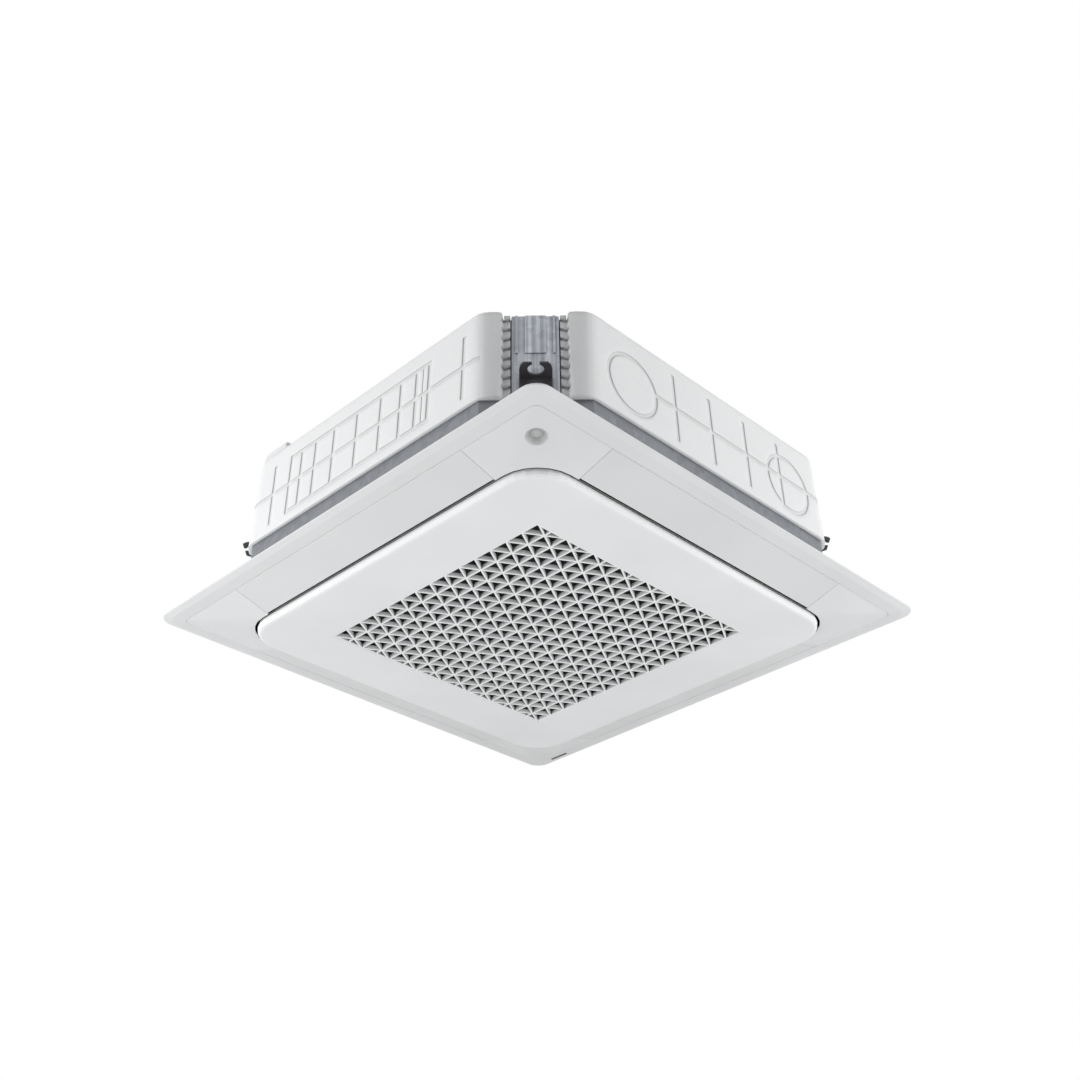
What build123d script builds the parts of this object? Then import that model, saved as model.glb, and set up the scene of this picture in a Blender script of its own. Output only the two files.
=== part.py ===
from build123d import *
import os
from math import atan2, cos, degrees, radians, sin, sqrt, tan

os.makedirs("parts", exist_ok=True)

# A four-way ceiling cassette air conditioner: a square decoration panel under a ceiling, and the
# body with fan, heat exchanger and drain pan above it. Millimetres, +Z up.
# The origin is the centre of the four hanger holes, on the hanger plates' lower face.
# Every *_level below is a height above the ceiling plane, where the panel's rim touches the ceiling.
# A side is drawn once, on the +X side with y running along it, and turned about Z for the others.

# ---------------------------------------------------------------- driving dimensions
hanger_level = 140.0      # hanger plates' load face above the ceiling plane
fit_gap = 0.3             # gap between pieces that seat on each other
run_gap = 0.08            # radial clearance of a pin or shaft in its bore
overlap = 1.0             # how far joined forms reach into each other, and cuts past what they cut
root_two = sqrt(2.0)

# panel frame
panel_half = 475.0
panel_corner = 28.0
rim_edge = 2.5
rim_bend_half = 463.0     # the rim's slope changes here
rim_bend_level = -5.8
rim_bend_corner = 23.0
rim_land = 3.0            # width of the rim that touches the ceiling
skin = 2.5                # moulded wall of the panel frame
crease_half = 442.3       # where the rim's slope meets louvers and corner covers
crease_level = -8.0
crease_corner = 14.0
slope_half = 372.0        # inner edge of louvers and corner covers
slope_level = -29.0
slope_corner = 72.0
well_half = 362.0         # recess that the intake panel closes
well_corner = 62.0
web_level = -18.0         # underside of the recess's floor
web_half = 268.0          # its opening for the return air
web_corner = 10.0
lip_level = 8.0           # top of the lip round that opening
deck_level = 3.0          # underside of the panel's deck
duct_out = 402.0          # outer edge of the deck's air slots
duct_reach = 278.0        # half the length of those slots
end_wall_inset = 1.0      # the ducts' end walls begin this far from the slope's inner edge
cover_room = 0.7          # between those walls and the covers that they follow
guide_room = 2.2          # between a louver's back and the sloped guide above its edge
guide_thick = 2.8

# louvers and corner covers
louver_reach = 283.0      # half the length of a louver
louver_thick = 2.6
louver_edge_gap = 1.0
louver_in_gap = 2.3
louver_bevel = 0.78
louver_ribs = (14.0, 38.0)  # stiffening ribs, outwards from the louver's axis
louver_rib_thick = 1.5
louver_rib_rise = 2.5
joint_line = 0.8          # between a louver's end and its corner covers
cover_skin = 2.6
cover_edge_gap = 0.5
axis_half = 383.0         # louver axis, distance from the centre
axis_level = -16.5
pin_r = 2.5
lug_reach = 279.0
lug_thick = 3.0
lug_r = 5.0
lug_foot_in = 7.5         # where a lug meets the blade, on both sides of the axis
lug_foot_out = 11.0
end_wall_reach = 285.0    # inner faces of the duct's end walls
bush_r = 4.5
bush_flange_r = 5.5
bush_flange = 1.5
motor_shell_r = 10.0
motor_rise = 6.0          # louver motor's centre above the louver axis
motor_depth = 15.0
motor_ear_span = 34.0
motor_ear_width = 7.0
motor_ear_thick = 1.0
dimple_r = 18.0
dimple_floor_r = 8.5
dimple_depth = 7.0
dimple_half = 395.0
clip_half = 405.0         # clip posts of the corner covers
clip_reach = 345.0
clip_size = 8.0
clip_bore = 5.0

# intake panel, grille and filter
intake_half = 367.0
intake_corner = 67.0
intake_level = -40.0      # visible face
intake_top_level = -27.0
intake_skin = 3.0
intake_round = 8.0
grille_half = 254.0
grille_wall = 3.0
grille_wall_level = -31.9
grille_face_level = -39.2
grille_depth = 7.0
grille_rows = 16
rib_face = 3.0            # width of a lattice rib at the visible face
rib_root = 4.2            # and at its inner edge
cell_share = 0.35         # share of a cell's side that may pass the window's edge
rail_half = 262.5
rail_wall = 2.5
rail_level = -21.0
intake_rib_spots = (-140.0, 0.0, 140.0)  # ribs behind each side of the face
intake_rib_in = 264.5
intake_rib_out = 361.5
intake_rib_thick = 2.0
intake_rib_rise = 7.0
filter_rim = 9.0
filter_bar = 3.0
filter_depth = 4.0
mesh_thick = 0.8
hinge_y = 357.0
hinge_level = -30.0
hinge_x = 200.0
knuckle_r = 5.0
knuckle_width = 8.0
knuckle_neck = 6.0
ear_thick = 3.0
ear_gap = 1.0
ear_rise = 4.0            # from the hinge's axis
latch_y = -345.0
latch_width = 20.0
latch_drop = 8.0
latch_roof = 1.5
plunger_width = 8.0
plunger_drop = 6.0
plunger_travel = 4.0
lens_length = 43.0
lens_width = 6.0
lens_proud = 0.2
lens_x = -395.5
lens_half = 457.0

# body shells
body_half = 420.0         # at the shells' lower edge
body_corner = 508.0       # distance of the cut-off corner's face from the centre
shell_wall = 24.0
shell_level = 94.5
shell_top_level = 275.0
shell_draft = 1.7
corner_draft = 2.8        # the cut-off corners lean in more
shell_bend = 40.0
shell_round = 12.0
channel_half = 39.2       # half the gap that the corner post fills
strip_half = 50.0         # notched strip on both sides of the post
strip_face = 494.0        # its distance from the centre
strip_top_level = 265.0
lobe_round = 15.0         # shells' rounded ends beside the strip, in plan
shoulder = 18.0           # and at their upper corner
groove_width = 8.0
groove_depth = 1.2
grid_shift = -7.0         # grid of narrow fields on front and back, off the middle of the side
grid_levels = (116.0, 176.0, 233.0)
grid_columns = (-183, -152, -113, -62, 0, 62, 113, 152, 183)
grid_reach = 183.0
edge_columns = (-230, 265)
thin_column = 167.5
cross_columns = (-97, -4.5, 88, 180.5)  # coarse grid on the right
cross_level = 178.0
cross_start = -145.0
cross_end = 300.0
column_level = 179.0
column_height = 136.0
mark_spot = 201.5         # round knock-out marks
mark_level = 169.0
mark_r = 56.0
bump_start = -312.0
bump_end = -211.0
bump_rise = 14.0
bump_inset = 3.0
bump_round = 20.0
notch_count = 8
notch_pitch = 19.0
notch_height = 8.0
notch_slant = 4.0
notch_depth = 6.0
notch_flank = 3.0         # how far the notches run into the shells' ends
notch_start_level = 115.0

# base band, corner posts and hangers
band_half = 414.0
band_corner = 498.0
sheet = 1.5
band_level = 12.0
band_top_level = 94.2
ledge_half = 397.0
ledge_corner = 493.5
foot_half = 398.0
foot_corner = 473.0
screw_half = 394.0        # panel screws, measured on each side
screw_reach = 300.0
screw_hole_r = 2.7
screw_play = 0.2
screw_head_r = 5.13
screw_head = 3.5
screw_spare = 3.0         # thread beyond the sheet that it holds
boss_r = 7.0
post_face = 492.0         # corner post's outer face, distance from the centre
post_step = 10.0
post_floor_half = 37.0
post_flange_half = 60.0
hanger_hole = 728.0       # spacing of the hanger holes
hanger_hole_r = 13.0
hanger_mouth = 11.5
hanger_width = 51.0
hanger_tip = 531.0
hanger_sheet = 2.5
hanger_drop = 36.0        # flange that hangs from the plate, against the post
hanger_screw_drop = 21.6
fold_level = 190.0        # lower end of the post's folds
fold_rise = 2.0
fold_width = 4.0
fold_spot = 29.5
field_width = 33.0        # raised middle field of the post

# drain pan, seals, bell mouth and top
pan_half = 410.0
pan_corner = 479.0
pan_level = 62.0
pan_wall = 12.0
slot_in = 362.0           # body's air slots
slot_out = 396.0
slot_reach = 268.0
eye_r = 196.0
throat_r = 165.0
bell_wall = 2.2
bell_round = 25.0
bell_flange_r = 208.0
bell_top_level = 78.0
bell_screw_r = 4.5
bell_screw_head = 3.0
seal_in = 357.0           # outlet seal, distances from the centre and half its length
seal_out = 411.0
seal_reach = 289.0
seal_flank = 1.5          # the intake seal is this much wider than the lip, each way
trough_level = 40.0
trough_side = 6.0         # trough's clearance round the heat exchanger
top_level = 267.0
top_half = 395.5
top_corner = 480.2
foam_thick = 8.0
top_drop = 12.0           # folded edge of the top plate
ring_gap = 4.0            # pressed ring round the foam's eye
ring_width = 10.0
top_rib_margin = 20.0
top_rib_width = 14.0
press_rise = 2.0
foam_eye_r = 122.0
foam_edge_gap = 1.0

# heat exchanger
coil_half = 318.0
coil_depth = 40.0
coil_corner = 90.0
coil_end = 215.0          # where its two ends stop, measured from the centre
end_plate = 2.0
end_plate_spare = 4.0
bend_levels = (80.0, 130.0, 180.0, 225.0)
return_bend_r = 10.5
tube_r = 3.5
riser_x = -298.0
riser_y = 236.0
gas_pipe_r = 7.94
liquid_pipe_r = 4.76
gas_level = 136.0
liquid_level = 208.0
pipe_end = 470.0
pipe_y = 236.0
free_end = 18.0           # bare length of a pipe beyond its nut
bead = 1.2                # raised stop behind that length
nut_gap = 2.0
nut_share = 1.7           # a flare nut's radius in pipe radii
nut_length = 20.0
header_drop = 66.0        # upright header of the gas pipe, from that pipe's level
header_tall = 86.0
header_wall = 2.0
stub_drops = (-50.0, -25.0, 0.0)
distributor_half = 14.0   # cone that shares the liquid out to its feeders
distributor_r = 8.0
distributor_top_r = 12.0
feeder_shifts = (-6.0, 0.0, 6.0)

# fan and motor
fan_r = 235.0
fan_level = 222.0         # lower face of the back plate
fan_wall = 3.0
blade_count = 7
blade_thick = 4.0
blade_in = 150.0
blade_centre = (65.6, 98.7)  # centre of a blade's arc
blade_bend = 126.7
blade_arc = (-51.2, 79.8)     # its start angle and sweep
blade_tip_gap = 0.5
blade_core_rise = 8.0     # the blades' lower inner edge slants by this much
shroud_level = 70.0
shroud_top = 120.0
shroud_round = 30.0
shroud_r = 172.0
shroud_lip = 14.0
dome_drop = 26.0          # dome of the back plate, under the motor
dome_radii = (60.0, 98.0, 116.0)
dome_rise = 4.0
hollow_radii = (59.0, 94.0, 112.0)
hollow_rise = 7.0
hub_r = 13.2
hub_drop = 16.0
shaft_r = 6.0
shaft_drop = 26.0
shaft_hold = 24.0
fan_nut_tall = 7.0
motor_r = 76.0
motor_level = 172.0
can_bevel = 8.0
motor_bore = 26.0
motor_flange = 3.0
motor_flange_level = 246.0
motor_flange_r = 108.0
mount_ring_r = 98.0
mount_r = 9.0
stud_r = 3.0
stud_head = 3.0
stud_nut = 4.0
stud_spare = 6.0

# drain and control box
pump_x = -300.0
pump_y = 296.0
pump_size = 64.0
pump_base = 30.0
pump_shift = 4.0          # its motor, off the middle of the base
pump_motor_inset = 5.0
pump_top_level = 103.0
nozzle_top_level = 116.0
suction_gap = 4.0         # under its foot in the trough
suction_shift = (19.0, -17.0)
suction_r = 12.0
drain_y = 268.0
drain_level = 168.0
drain_r = 16.0
drain_bore_r = 13.0
drain_stop = 412.0
drain_collar = 3.0
hose_r = 10.0
hose_wall = 2.0
hose_bend = 32.0
hose_inset = 14.0
hose_end_inset = 12.0
hose_fit = 0.05
float_x = -251.0
float_y = 298.0
float_r = 9.0
float_height = 12.0
float_gap = 1.0
strap_half = 7.0          # strap over the trough, which carries the float's stem
strap_hold = 8.0
strap_thick = 2.0
stem_spare = 0.7
plate_y0 = 205.0
plate_y1 = 290.0
plate_level0 = 112.0
plate_level1 = 240.0
plate_face = 403.0
plate_thick = 2.0
box_y0 = 212.0
box_y1 = 262.0
box_half = 160.0
box_level = -6.0
box_top_level = 34.0
box_wall = 2.0
box_room = 1.0
board_x = -40.0           # middle of the circuit board and its standoffs
board_half = 114.0
board_margin = 5.0
board_thick = 1.6
standoff_span = 190.0
standoff_depth = 30.0
standoff_size = 5.0
standoff_drop = 11.0
board_parts = (           # place along and across, width, depth, height
    (-130, 237, 24, 26, 16),
    (-95, 230, 16, 16, 18),
    (-60, 244, 30, 14, 10),
    (-10, 235, 22, 28, 14),
    (35, 240, 14, 18, 9),
)
terminal_x0 = 84.0
terminal_x1 = 150.0
terminal_margin = 12.0
terminal_drop = 16.0
pole_count = 6
pole_start = 88.0
pole_pitch = 10.0
pole_width = 8.0
pole_margin = 16.0
pole_depth = 8.0

sides = {"right": 0, "back": 90, "left": 180, "front": 270}
bend_steps = 3
ring_steps = 24
corners = {"right_rear": 45, "left_rear": 135, "left_front": 225, "right_front": 315}

deck_top = deck_level + skin
wall_half = well_half + skin
slope = (crease_level - slope_level) / (crease_half - slope_half)
front = sides["front"]


# ---------------------------------------------------------------- shared helpers
def up(level):
    """Horizontal plane at a height above the ceiling plane."""
    return Plane.XY.offset(level - hanger_level)


def z_at(level):
    """Z of a height above the ceiling plane."""
    return level - hanger_level


def slope_at(half):
    """Level of the sloped face under louvers and corner covers, at a distance from the centre."""
    return slope_level + (half - slope_half) * slope


def arc_points(x, y, radius, start, sweep, steps):
    """Points along an arc about (x, y), in short straight steps, from a start angle in degrees."""
    spins = [radians(start + sweep * step / steps) for step in range(steps + 1)]
    return [(x + radius * cos(spin), y + radius * sin(spin)) for spin in spins]


def square_points(half, corner, steps=6):
    """Square about the centre, with corners rounded in short straight steps."""
    flat = half - corner
    points = arc_points(flat, flat, corner, 0, 90, steps)
    points += arc_points(-flat, flat, corner, 90, 90, steps)
    points += arc_points(-flat, -flat, corner, 180, 90, steps)
    points += arc_points(flat, -flat, corner, 270, 90, steps)
    return points


def square(half, corner, mode=Mode.ADD, steps=6):
    """The same square as an outline."""
    return Polygon(*square_points(half, corner, steps), align=None, mode=mode)


def between(low, low_level, high, high_level, mode=Mode.ADD):
    """Solid with straight sides between two level outlines whose edges run parallel."""
    points = [(x, y, z_at(low_level)) for x, y in low]
    points += [(x, y, z_at(high_level)) for x, y in high]
    return ConvexPolyhedron(points, mode=mode)


def round_stack(sections, steps, mode=Mode.ADD):
    """Round solid in flat facets through pairs of radius and level, from the bottom up."""
    rings = [(arc_points(0, 0, radius, 0, 360, steps)[1:], level) for radius, level in sections]
    for low, high in zip(rings, rings[1:]):
        between(*low, *high, mode=mode)


def cut_square(half, corner, mode=Mode.ADD):
    """Square whose corners are cut off at a distance from the centre."""
    leg = corner * root_two - half
    points = [(half, -leg), (half, leg), (leg, half), (-leg, half)]
    points += [(-half, leg), (-half, -leg), (-leg, -half), (leg, -half)]
    return Polygon(*points, align=None, mode=mode)


def bent_points(half, corner, bend):
    """The same cut square, each of its eight bends rounded in short straight steps."""
    leg = corner * root_two - half
    reach = half - bend
    inset = leg - bend * tan(radians(22.5))
    points = []
    for turn in (0, 90, 180, 270):
        spin = radians(turn)
        for x, y, start in ((reach, inset, 0), (inset, reach, 45)):
            for px, py in arc_points(x, y, bend, start, 45, bend_steps):
                points.append((px * cos(spin) - py * sin(spin), px * sin(spin) + py * cos(spin)))
    return points


def disc(radius, sides=12, mode=Mode.ADD):
    """Small round outline in straight steps."""
    return RegularPolygon(radius, sides, mode=mode)


def around(radius):
    """Radius of a twelve-sided hole that just clears a round piece of that radius."""
    return radius / cos(radians(15)) + run_gap / 2


def side_profile(points):
    """Closed outline in the side's section: distance from the centre, level."""
    return Polygon(*[(half, z_at(level)) for half, level in points], align=None)


def block(x0, x1, y0, y1, level0, level1, mode=Mode.ADD):
    """Box between two distances, two places along the side and two levels."""
    with BuildSketch(up(level0)) as outline:
        with Locations(((x0 + x1) / 2, (y0 + y1) / 2)):
            Rectangle(x1 - x0, y1 - y0)
    extrude(outline.sketch, amount=level1 - level0, mode=mode)


def turned(part, angle):
    """The part turned about the vertical axis."""
    return part.rotate(Axis.Z, angle)


def on_sides(half, along):
    """The same place on each of the four sides."""
    spots = []
    for angle in sides.values():
        spin = radians(angle)
        spots.append((half * cos(spin) - along * sin(spin), half * sin(spin) + along * cos(spin)))
    return spots


# ---------------------------------------------------------------- panel frame
end_wall_in = slope_half + end_wall_inset
guide_level = crease_level + louver_thick + guide_room
with BuildPart() as duct_walls:
    # end walls of one duct, and the sloped guide that leads the air to the louver
    for end in (-end_wall_reach - skin, end_wall_reach):
        with BuildSketch(Plane.XZ.offset(-end - skin)):
            side_profile([
                (wall_half - skin / 2, deck_level + skin / 2),
                (wall_half - skin / 2, web_level),
                (end_wall_in, slope_at(end_wall_in) + cover_skin + cover_room),
                (crease_half + skin / 2, crease_level + cover_skin + cover_room),
                (crease_half + skin / 2, deck_level + skin / 2),
            ])
        extrude(amount=skin)
    with BuildSketch(Plane.XZ):
        side_profile([
            (duct_out, deck_top),
            (duct_out, deck_level),
            (crease_half + cover_room, guide_level),
            (crease_half + cover_room, guide_level + guide_thick),
        ])
    extrude(amount=end_wall_reach + skin / 2, both=True)

with BuildPart() as panel_frame:
    # rim: a thin sloping border that meets the ceiling at its edge
    rim_outline = square_points(panel_half, panel_corner)
    crease_outline = square_points(crease_half, crease_corner)
    bend_outline = square_points(rim_bend_half, rim_bend_corner)
    between(crease_outline, crease_level, bend_outline, rim_bend_level)
    between(bend_outline, rim_bend_level, rim_outline, -rim_edge)
    between(rim_outline, -rim_edge, rim_outline, 0)
    land_outline = square_points(panel_half - rim_land, panel_corner - rim_land)
    between(crease_outline, crease_level + skin, land_outline, 0, Mode.SUBTRACT)
    with BuildSketch(up(crease_level)):
        square(crease_half, crease_corner)
    extrude(amount=-crease_level, mode=Mode.SUBTRACT)
    # outer wall, deck, recess wall, recess floor and lip
    with BuildSketch(up(crease_level + skin / 2)):
        square(crease_half + skin, crease_corner + skin)
        square(crease_half, crease_corner, Mode.SUBTRACT)
    extrude(amount=deck_top - crease_level - skin / 2)
    with BuildSketch(up(deck_level)):
        square(crease_half + skin, crease_corner + skin)
        square(well_half, well_corner, Mode.SUBTRACT)
    extrude(amount=skin)
    with BuildSketch(up(web_level)):
        square(wall_half, well_corner + skin)
        square(well_half, well_corner, Mode.SUBTRACT)
    extrude(amount=deck_top - web_level)
    with BuildSketch(up(web_level)):
        square(wall_half, well_corner + skin)
        square(web_half, web_corner, Mode.SUBTRACT)
    extrude(amount=skin)
    with BuildSketch(up(web_level)):
        square(web_half + skin, web_corner + skin)
        square(web_half, web_corner, Mode.SUBTRACT)
    extrude(amount=lip_level - web_level)
    for angle in sides.values():
        add(turned(duct_walls.part, angle))
    # air slots
    with BuildSketch(up(deck_level - overlap)):
        with Locations(*on_sides((wall_half + duct_out) / 2, 0)[0::2]):
            Rectangle(duct_out - wall_half, 2 * duct_reach)
        with Locations(*on_sides((wall_half + duct_out) / 2, 0)[1::2]):
            Rectangle(2 * duct_reach, duct_out - wall_half)
    extrude(amount=skin + 2 * overlap, mode=Mode.SUBTRACT)
    # bosses and holes of the four panel screws
    with BuildSketch(up(deck_top)):
        with Locations(*on_sides(screw_half, screw_reach)):
            disc(boss_r)
    extrude(amount=band_level - fit_gap - deck_top)
    with BuildSketch(up(deck_level)):
        with Locations(*on_sides(screw_half, screw_reach)):
            disc(screw_hole_r, 8)
    extrude(amount=band_level - deck_level, mode=Mode.SUBTRACT)
    # holes for the louver pins in the end walls
    for plane in (Plane.XZ, Plane.YZ):
        with BuildSketch(plane):
            with Locations((axis_half, z_at(axis_level)), (-axis_half, z_at(axis_level))):
                disc(bush_r, 8)
        extrude(amount=end_wall_reach + 2 * skin, both=True, mode=Mode.SUBTRACT)
    # knuckles that carry the intake panel's hinge pins
    for side in (-1, 1):
        with BuildSketch(Plane.YZ.offset(side * hinge_x - knuckle_width / 2)):
            with Locations((hinge_y, z_at(hinge_level))):
                Circle(knuckle_r)
            with Locations((hinge_y, z_at((hinge_level + web_level + skin / 2) / 2))):
                Rectangle(knuckle_neck, web_level + skin / 2 - hinge_level)
            with Locations((hinge_y, z_at(hinge_level))):
                Circle(pin_r + run_gap, mode=Mode.SUBTRACT)
        extrude(amount=knuckle_width)
    # slot for the receiver lens in the sloped rim
    rim_slope = (rim_bend_level - crease_level) / (rim_bend_half - crease_half)
    lens_plane = Plane(
        origin=(lens_x, lens_half, z_at(crease_level + (lens_half - crease_half) * rim_slope)),
        x_dir=(1, 0, 0),
        z_dir=(0, rim_slope, -1),
    )
    with BuildSketch(lens_plane):
        Rectangle(lens_length + 2 * fit_gap, lens_width + 2 * fit_gap)
    extrude(amount=2 * skin, both=True, mode=Mode.SUBTRACT)
panel_frame.part.label = "panel_frame"
export_step(panel_frame.part, "parts/panel_frame.step")

with BuildPart() as receiver_lens:
    with BuildSketch(lens_plane.offset(lens_proud)):
        Rectangle(lens_length, lens_width)
    extrude(amount=-skin)
receiver_lens.part.label = "receiver_lens"
export_step(receiver_lens.part, "parts/receiver_lens.step")

with BuildPart() as panel_screws:
    with BuildSketch(up(deck_level - fit_gap)):
        with Locations(*on_sides(screw_half, screw_reach)):
            RegularPolygon(screw_head_r, 6)
    extrude(amount=-screw_head)
    with BuildSketch(up(deck_level - fit_gap)):
        with Locations(*on_sides(screw_half, screw_reach)):
            disc(screw_hole_r - screw_play, 8)
    extrude(amount=band_level + sheet + screw_spare - deck_level)
panel_screws.part.label = "panel_screws"
export_step(panel_screws.part, "parts/panel_screws.step")


# ---------------------------------------------------------------- louvers
louver_in = slope_half + louver_in_gap
louver_out = crease_half - louver_edge_gap
with BuildPart() as louver:
    with BuildSketch(Plane.XZ):
        side_profile([
            (louver_in, slope_at(louver_in)),
            (louver_out, slope_at(louver_out)),
            (louver_out, slope_at(louver_out) + louver_thick),
            (louver_in, slope_at(louver_in) + louver_thick),
        ])
    extrude(amount=louver_reach, both=True)
    chamfer(louver.edges().filter_by(Axis.Y), louver_bevel)
    # two stiffening ribs along the hidden face
    for rib_in in [axis_half + spot for spot in louver_ribs]:
        rib_foot = slope_at(rib_in) + louver_thick / 2
        rib_crest = slope_at(rib_in) + louver_thick + louver_rib_rise
        rib_out = rib_in + louver_rib_thick
        with BuildSketch(Plane.XZ):
            side_profile([
                (rib_in, rib_foot),
                (rib_out, rib_foot),
                (rib_out, rib_crest),
                (rib_in, rib_crest),
            ])
        extrude(amount=lug_reach - 2 * lug_thick, both=True)
    # end lugs that reach up to the axis, and the pins
    for end in (-lug_reach, lug_reach - lug_thick):
        with BuildSketch(Plane.XZ.offset(-end - lug_thick)):
            with Locations((axis_half, z_at(axis_level))):
                disc(lug_r)
            side_profile([
                (axis_half - lug_r, axis_level),
                (axis_half - lug_foot_in, slope_at(axis_half - lug_foot_in) + louver_thick / 2),
                (axis_half + lug_foot_out, slope_at(axis_half + lug_foot_out) + louver_thick / 2),
                (axis_half + lug_r, axis_level),
            ])
        extrude(amount=lug_thick)
    with BuildSketch(Plane.XZ.offset(lug_reach - lug_thick / 2)):
        with Locations((axis_half, z_at(axis_level))):
            Circle(pin_r)
    extrude(amount=end_wall_reach + 4 * skin - lug_reach)
    with BuildSketch(Plane.XZ.offset(-lug_reach + lug_thick / 2)):
        with Locations((axis_half, z_at(axis_level))):
            Circle(pin_r)
    extrude(amount=-(end_wall_reach + 2 * skin - lug_reach))
for side, angle in sides.items():
    piece = turned(louver.part, angle)
    piece.label = f"louver_{side}"
    export_step(piece, f"parts/louver_{side}.step")

with BuildPart() as bush:
    with BuildSketch(Plane.XZ.offset(-end_wall_reach + fit_gap)):
        with Locations((axis_half, z_at(axis_level))):
            disc(bush_r, 8)
    extrude(amount=-(skin + 2 * fit_gap))
    with BuildSketch(Plane.XZ.offset(-end_wall_reach - skin - fit_gap)):
        with Locations((axis_half, z_at(axis_level))):
            disc(bush_flange_r, 8)
    extrude(amount=-bush_flange)
    with BuildSketch(Plane.XZ.offset(-end_wall_reach + fit_gap)):
        with Locations((axis_half, z_at(axis_level))):
            Circle(pin_r + run_gap)
    extrude(amount=-3 * skin, mode=Mode.SUBTRACT)
with BuildPart() as louver_bushes:
    for angle in sides.values():
        add(turned(bush.part, angle))
louver_bushes.part.label = "louver_bushes"
export_step(louver_bushes.part, "parts/louver_bushes.step")

with BuildPart() as step_motor:
    with BuildSketch(Plane.XZ.offset(end_wall_reach + skin + fit_gap)):
        with Locations((axis_half, z_at(axis_level + motor_rise))):
            Rectangle(motor_ear_span, motor_ear_width)
    extrude(amount=motor_ear_thick)
    with BuildSketch(Plane.XZ.offset(end_wall_reach + skin + fit_gap)):
        with Locations((axis_half, z_at(axis_level + motor_rise))):
            disc(motor_shell_r)
    extrude(amount=motor_depth)
    with BuildSketch(Plane.XZ.offset(end_wall_reach + skin + fit_gap)):
        with Locations((axis_half, z_at(axis_level))):
            Circle(pin_r + run_gap)
    extrude(amount=motor_depth / 2, mode=Mode.SUBTRACT)
with BuildPart() as louver_motors:
    for angle in sides.values():
        add(turned(step_motor.part, angle))
louver_motors.part.label = "louver_motors"
export_step(louver_motors.part, "parts/louver_motors.step")


# ---------------------------------------------------------------- corner covers
cover_half = crease_half - cover_edge_gap
with BuildPart() as slope_body:
    cover_outline = square_points(cover_half, crease_corner)
    well_outline = square_points(slope_half, slope_corner)
    between(well_outline, slope_level, cover_outline, slope_at(cover_half))
with BuildPart() as corner_cover:
    add(slope_body.part)
    with BuildSketch(up(slope_at(cover_half))):
        square(cover_half, crease_corner)
    extrude(amount=cover_skin)
    add(slope_body.part.moved(Location((0, 0, cover_skin))), mode=Mode.SUBTRACT)
    with BuildSketch(up(slope_level)):
        square(slope_half, slope_corner)
    extrude(amount=-slope_level, mode=Mode.SUBTRACT)
    # keep the corner between two louvers
    corner_start = louver_reach + joint_line
    block(corner_start, panel_half, corner_start, panel_half, slope_level, 0, mode=Mode.INTERSECT)
    # clip posts up to the deck
    clip_foot = slope_at(clip_half) + cover_skin / 2
    for spot in ((clip_half, clip_reach), (clip_reach, clip_half)):
        with BuildSketch(up(clip_foot)):
            with Locations(spot):
                Rectangle(clip_size, clip_size)
                Rectangle(clip_bore, clip_bore, mode=Mode.SUBTRACT)
        extrude(amount=deck_level - fit_gap - clip_foot)

hip_outer = (cover_half - crease_corner) * root_two + crease_corner
hip_inner = (slope_half - slope_corner) * root_two + slope_corner
hip_slope = (slope_at(cover_half) - slope_level) / (hip_outer - hip_inner)
hip_level = slope_level + (dimple_half * root_two - hip_inner) * hip_slope
hip_plane = Plane(
    origin=(dimple_half, dimple_half, z_at(hip_level)),
    x_dir=(1, -1, 0),
    z_dir=(hip_slope, hip_slope, -root_two),
)


def dish(face_r, floor_r, rise, depth, mode=Mode.ADD):
    """Round form that narrows from above the corner's face to its floor behind it."""
    with BuildSketch(hip_plane.offset(rise)) as face:
        disc(face_r, ring_steps)
    with BuildSketch(hip_plane.offset(-depth)) as floor:
        disc(floor_r, ring_steps)
    loft([face.sketch, floor.sketch], ruled=True, mode=mode)


with BuildPart() as dimpled_cover:
    add(corner_cover.part)
    # shallow round dimple on the hip of the corner, and the thicker wall behind it
    with BuildPart(mode=Mode.PRIVATE) as backing:
        dish(dimple_r + cover_skin, dimple_floor_r + cover_skin, 0, dimple_depth + cover_skin)
        add(slope_body.part, mode=Mode.INTERSECT)
    add(backing.part)
    dish_slant = (dimple_r - dimple_floor_r) / dimple_depth
    dish(dimple_r + dish_slant * cover_skin, dimple_floor_r, cover_skin, dimple_depth, Mode.SUBTRACT)
for name, angle in corners.items():
    source = dimpled_cover.part if name == "right_front" else corner_cover.part
    piece = turned(source, angle - 45)
    piece.label = f"corner_cover_{name}"
    export_step(piece, f"parts/corner_cover_{name}.step")


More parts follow.
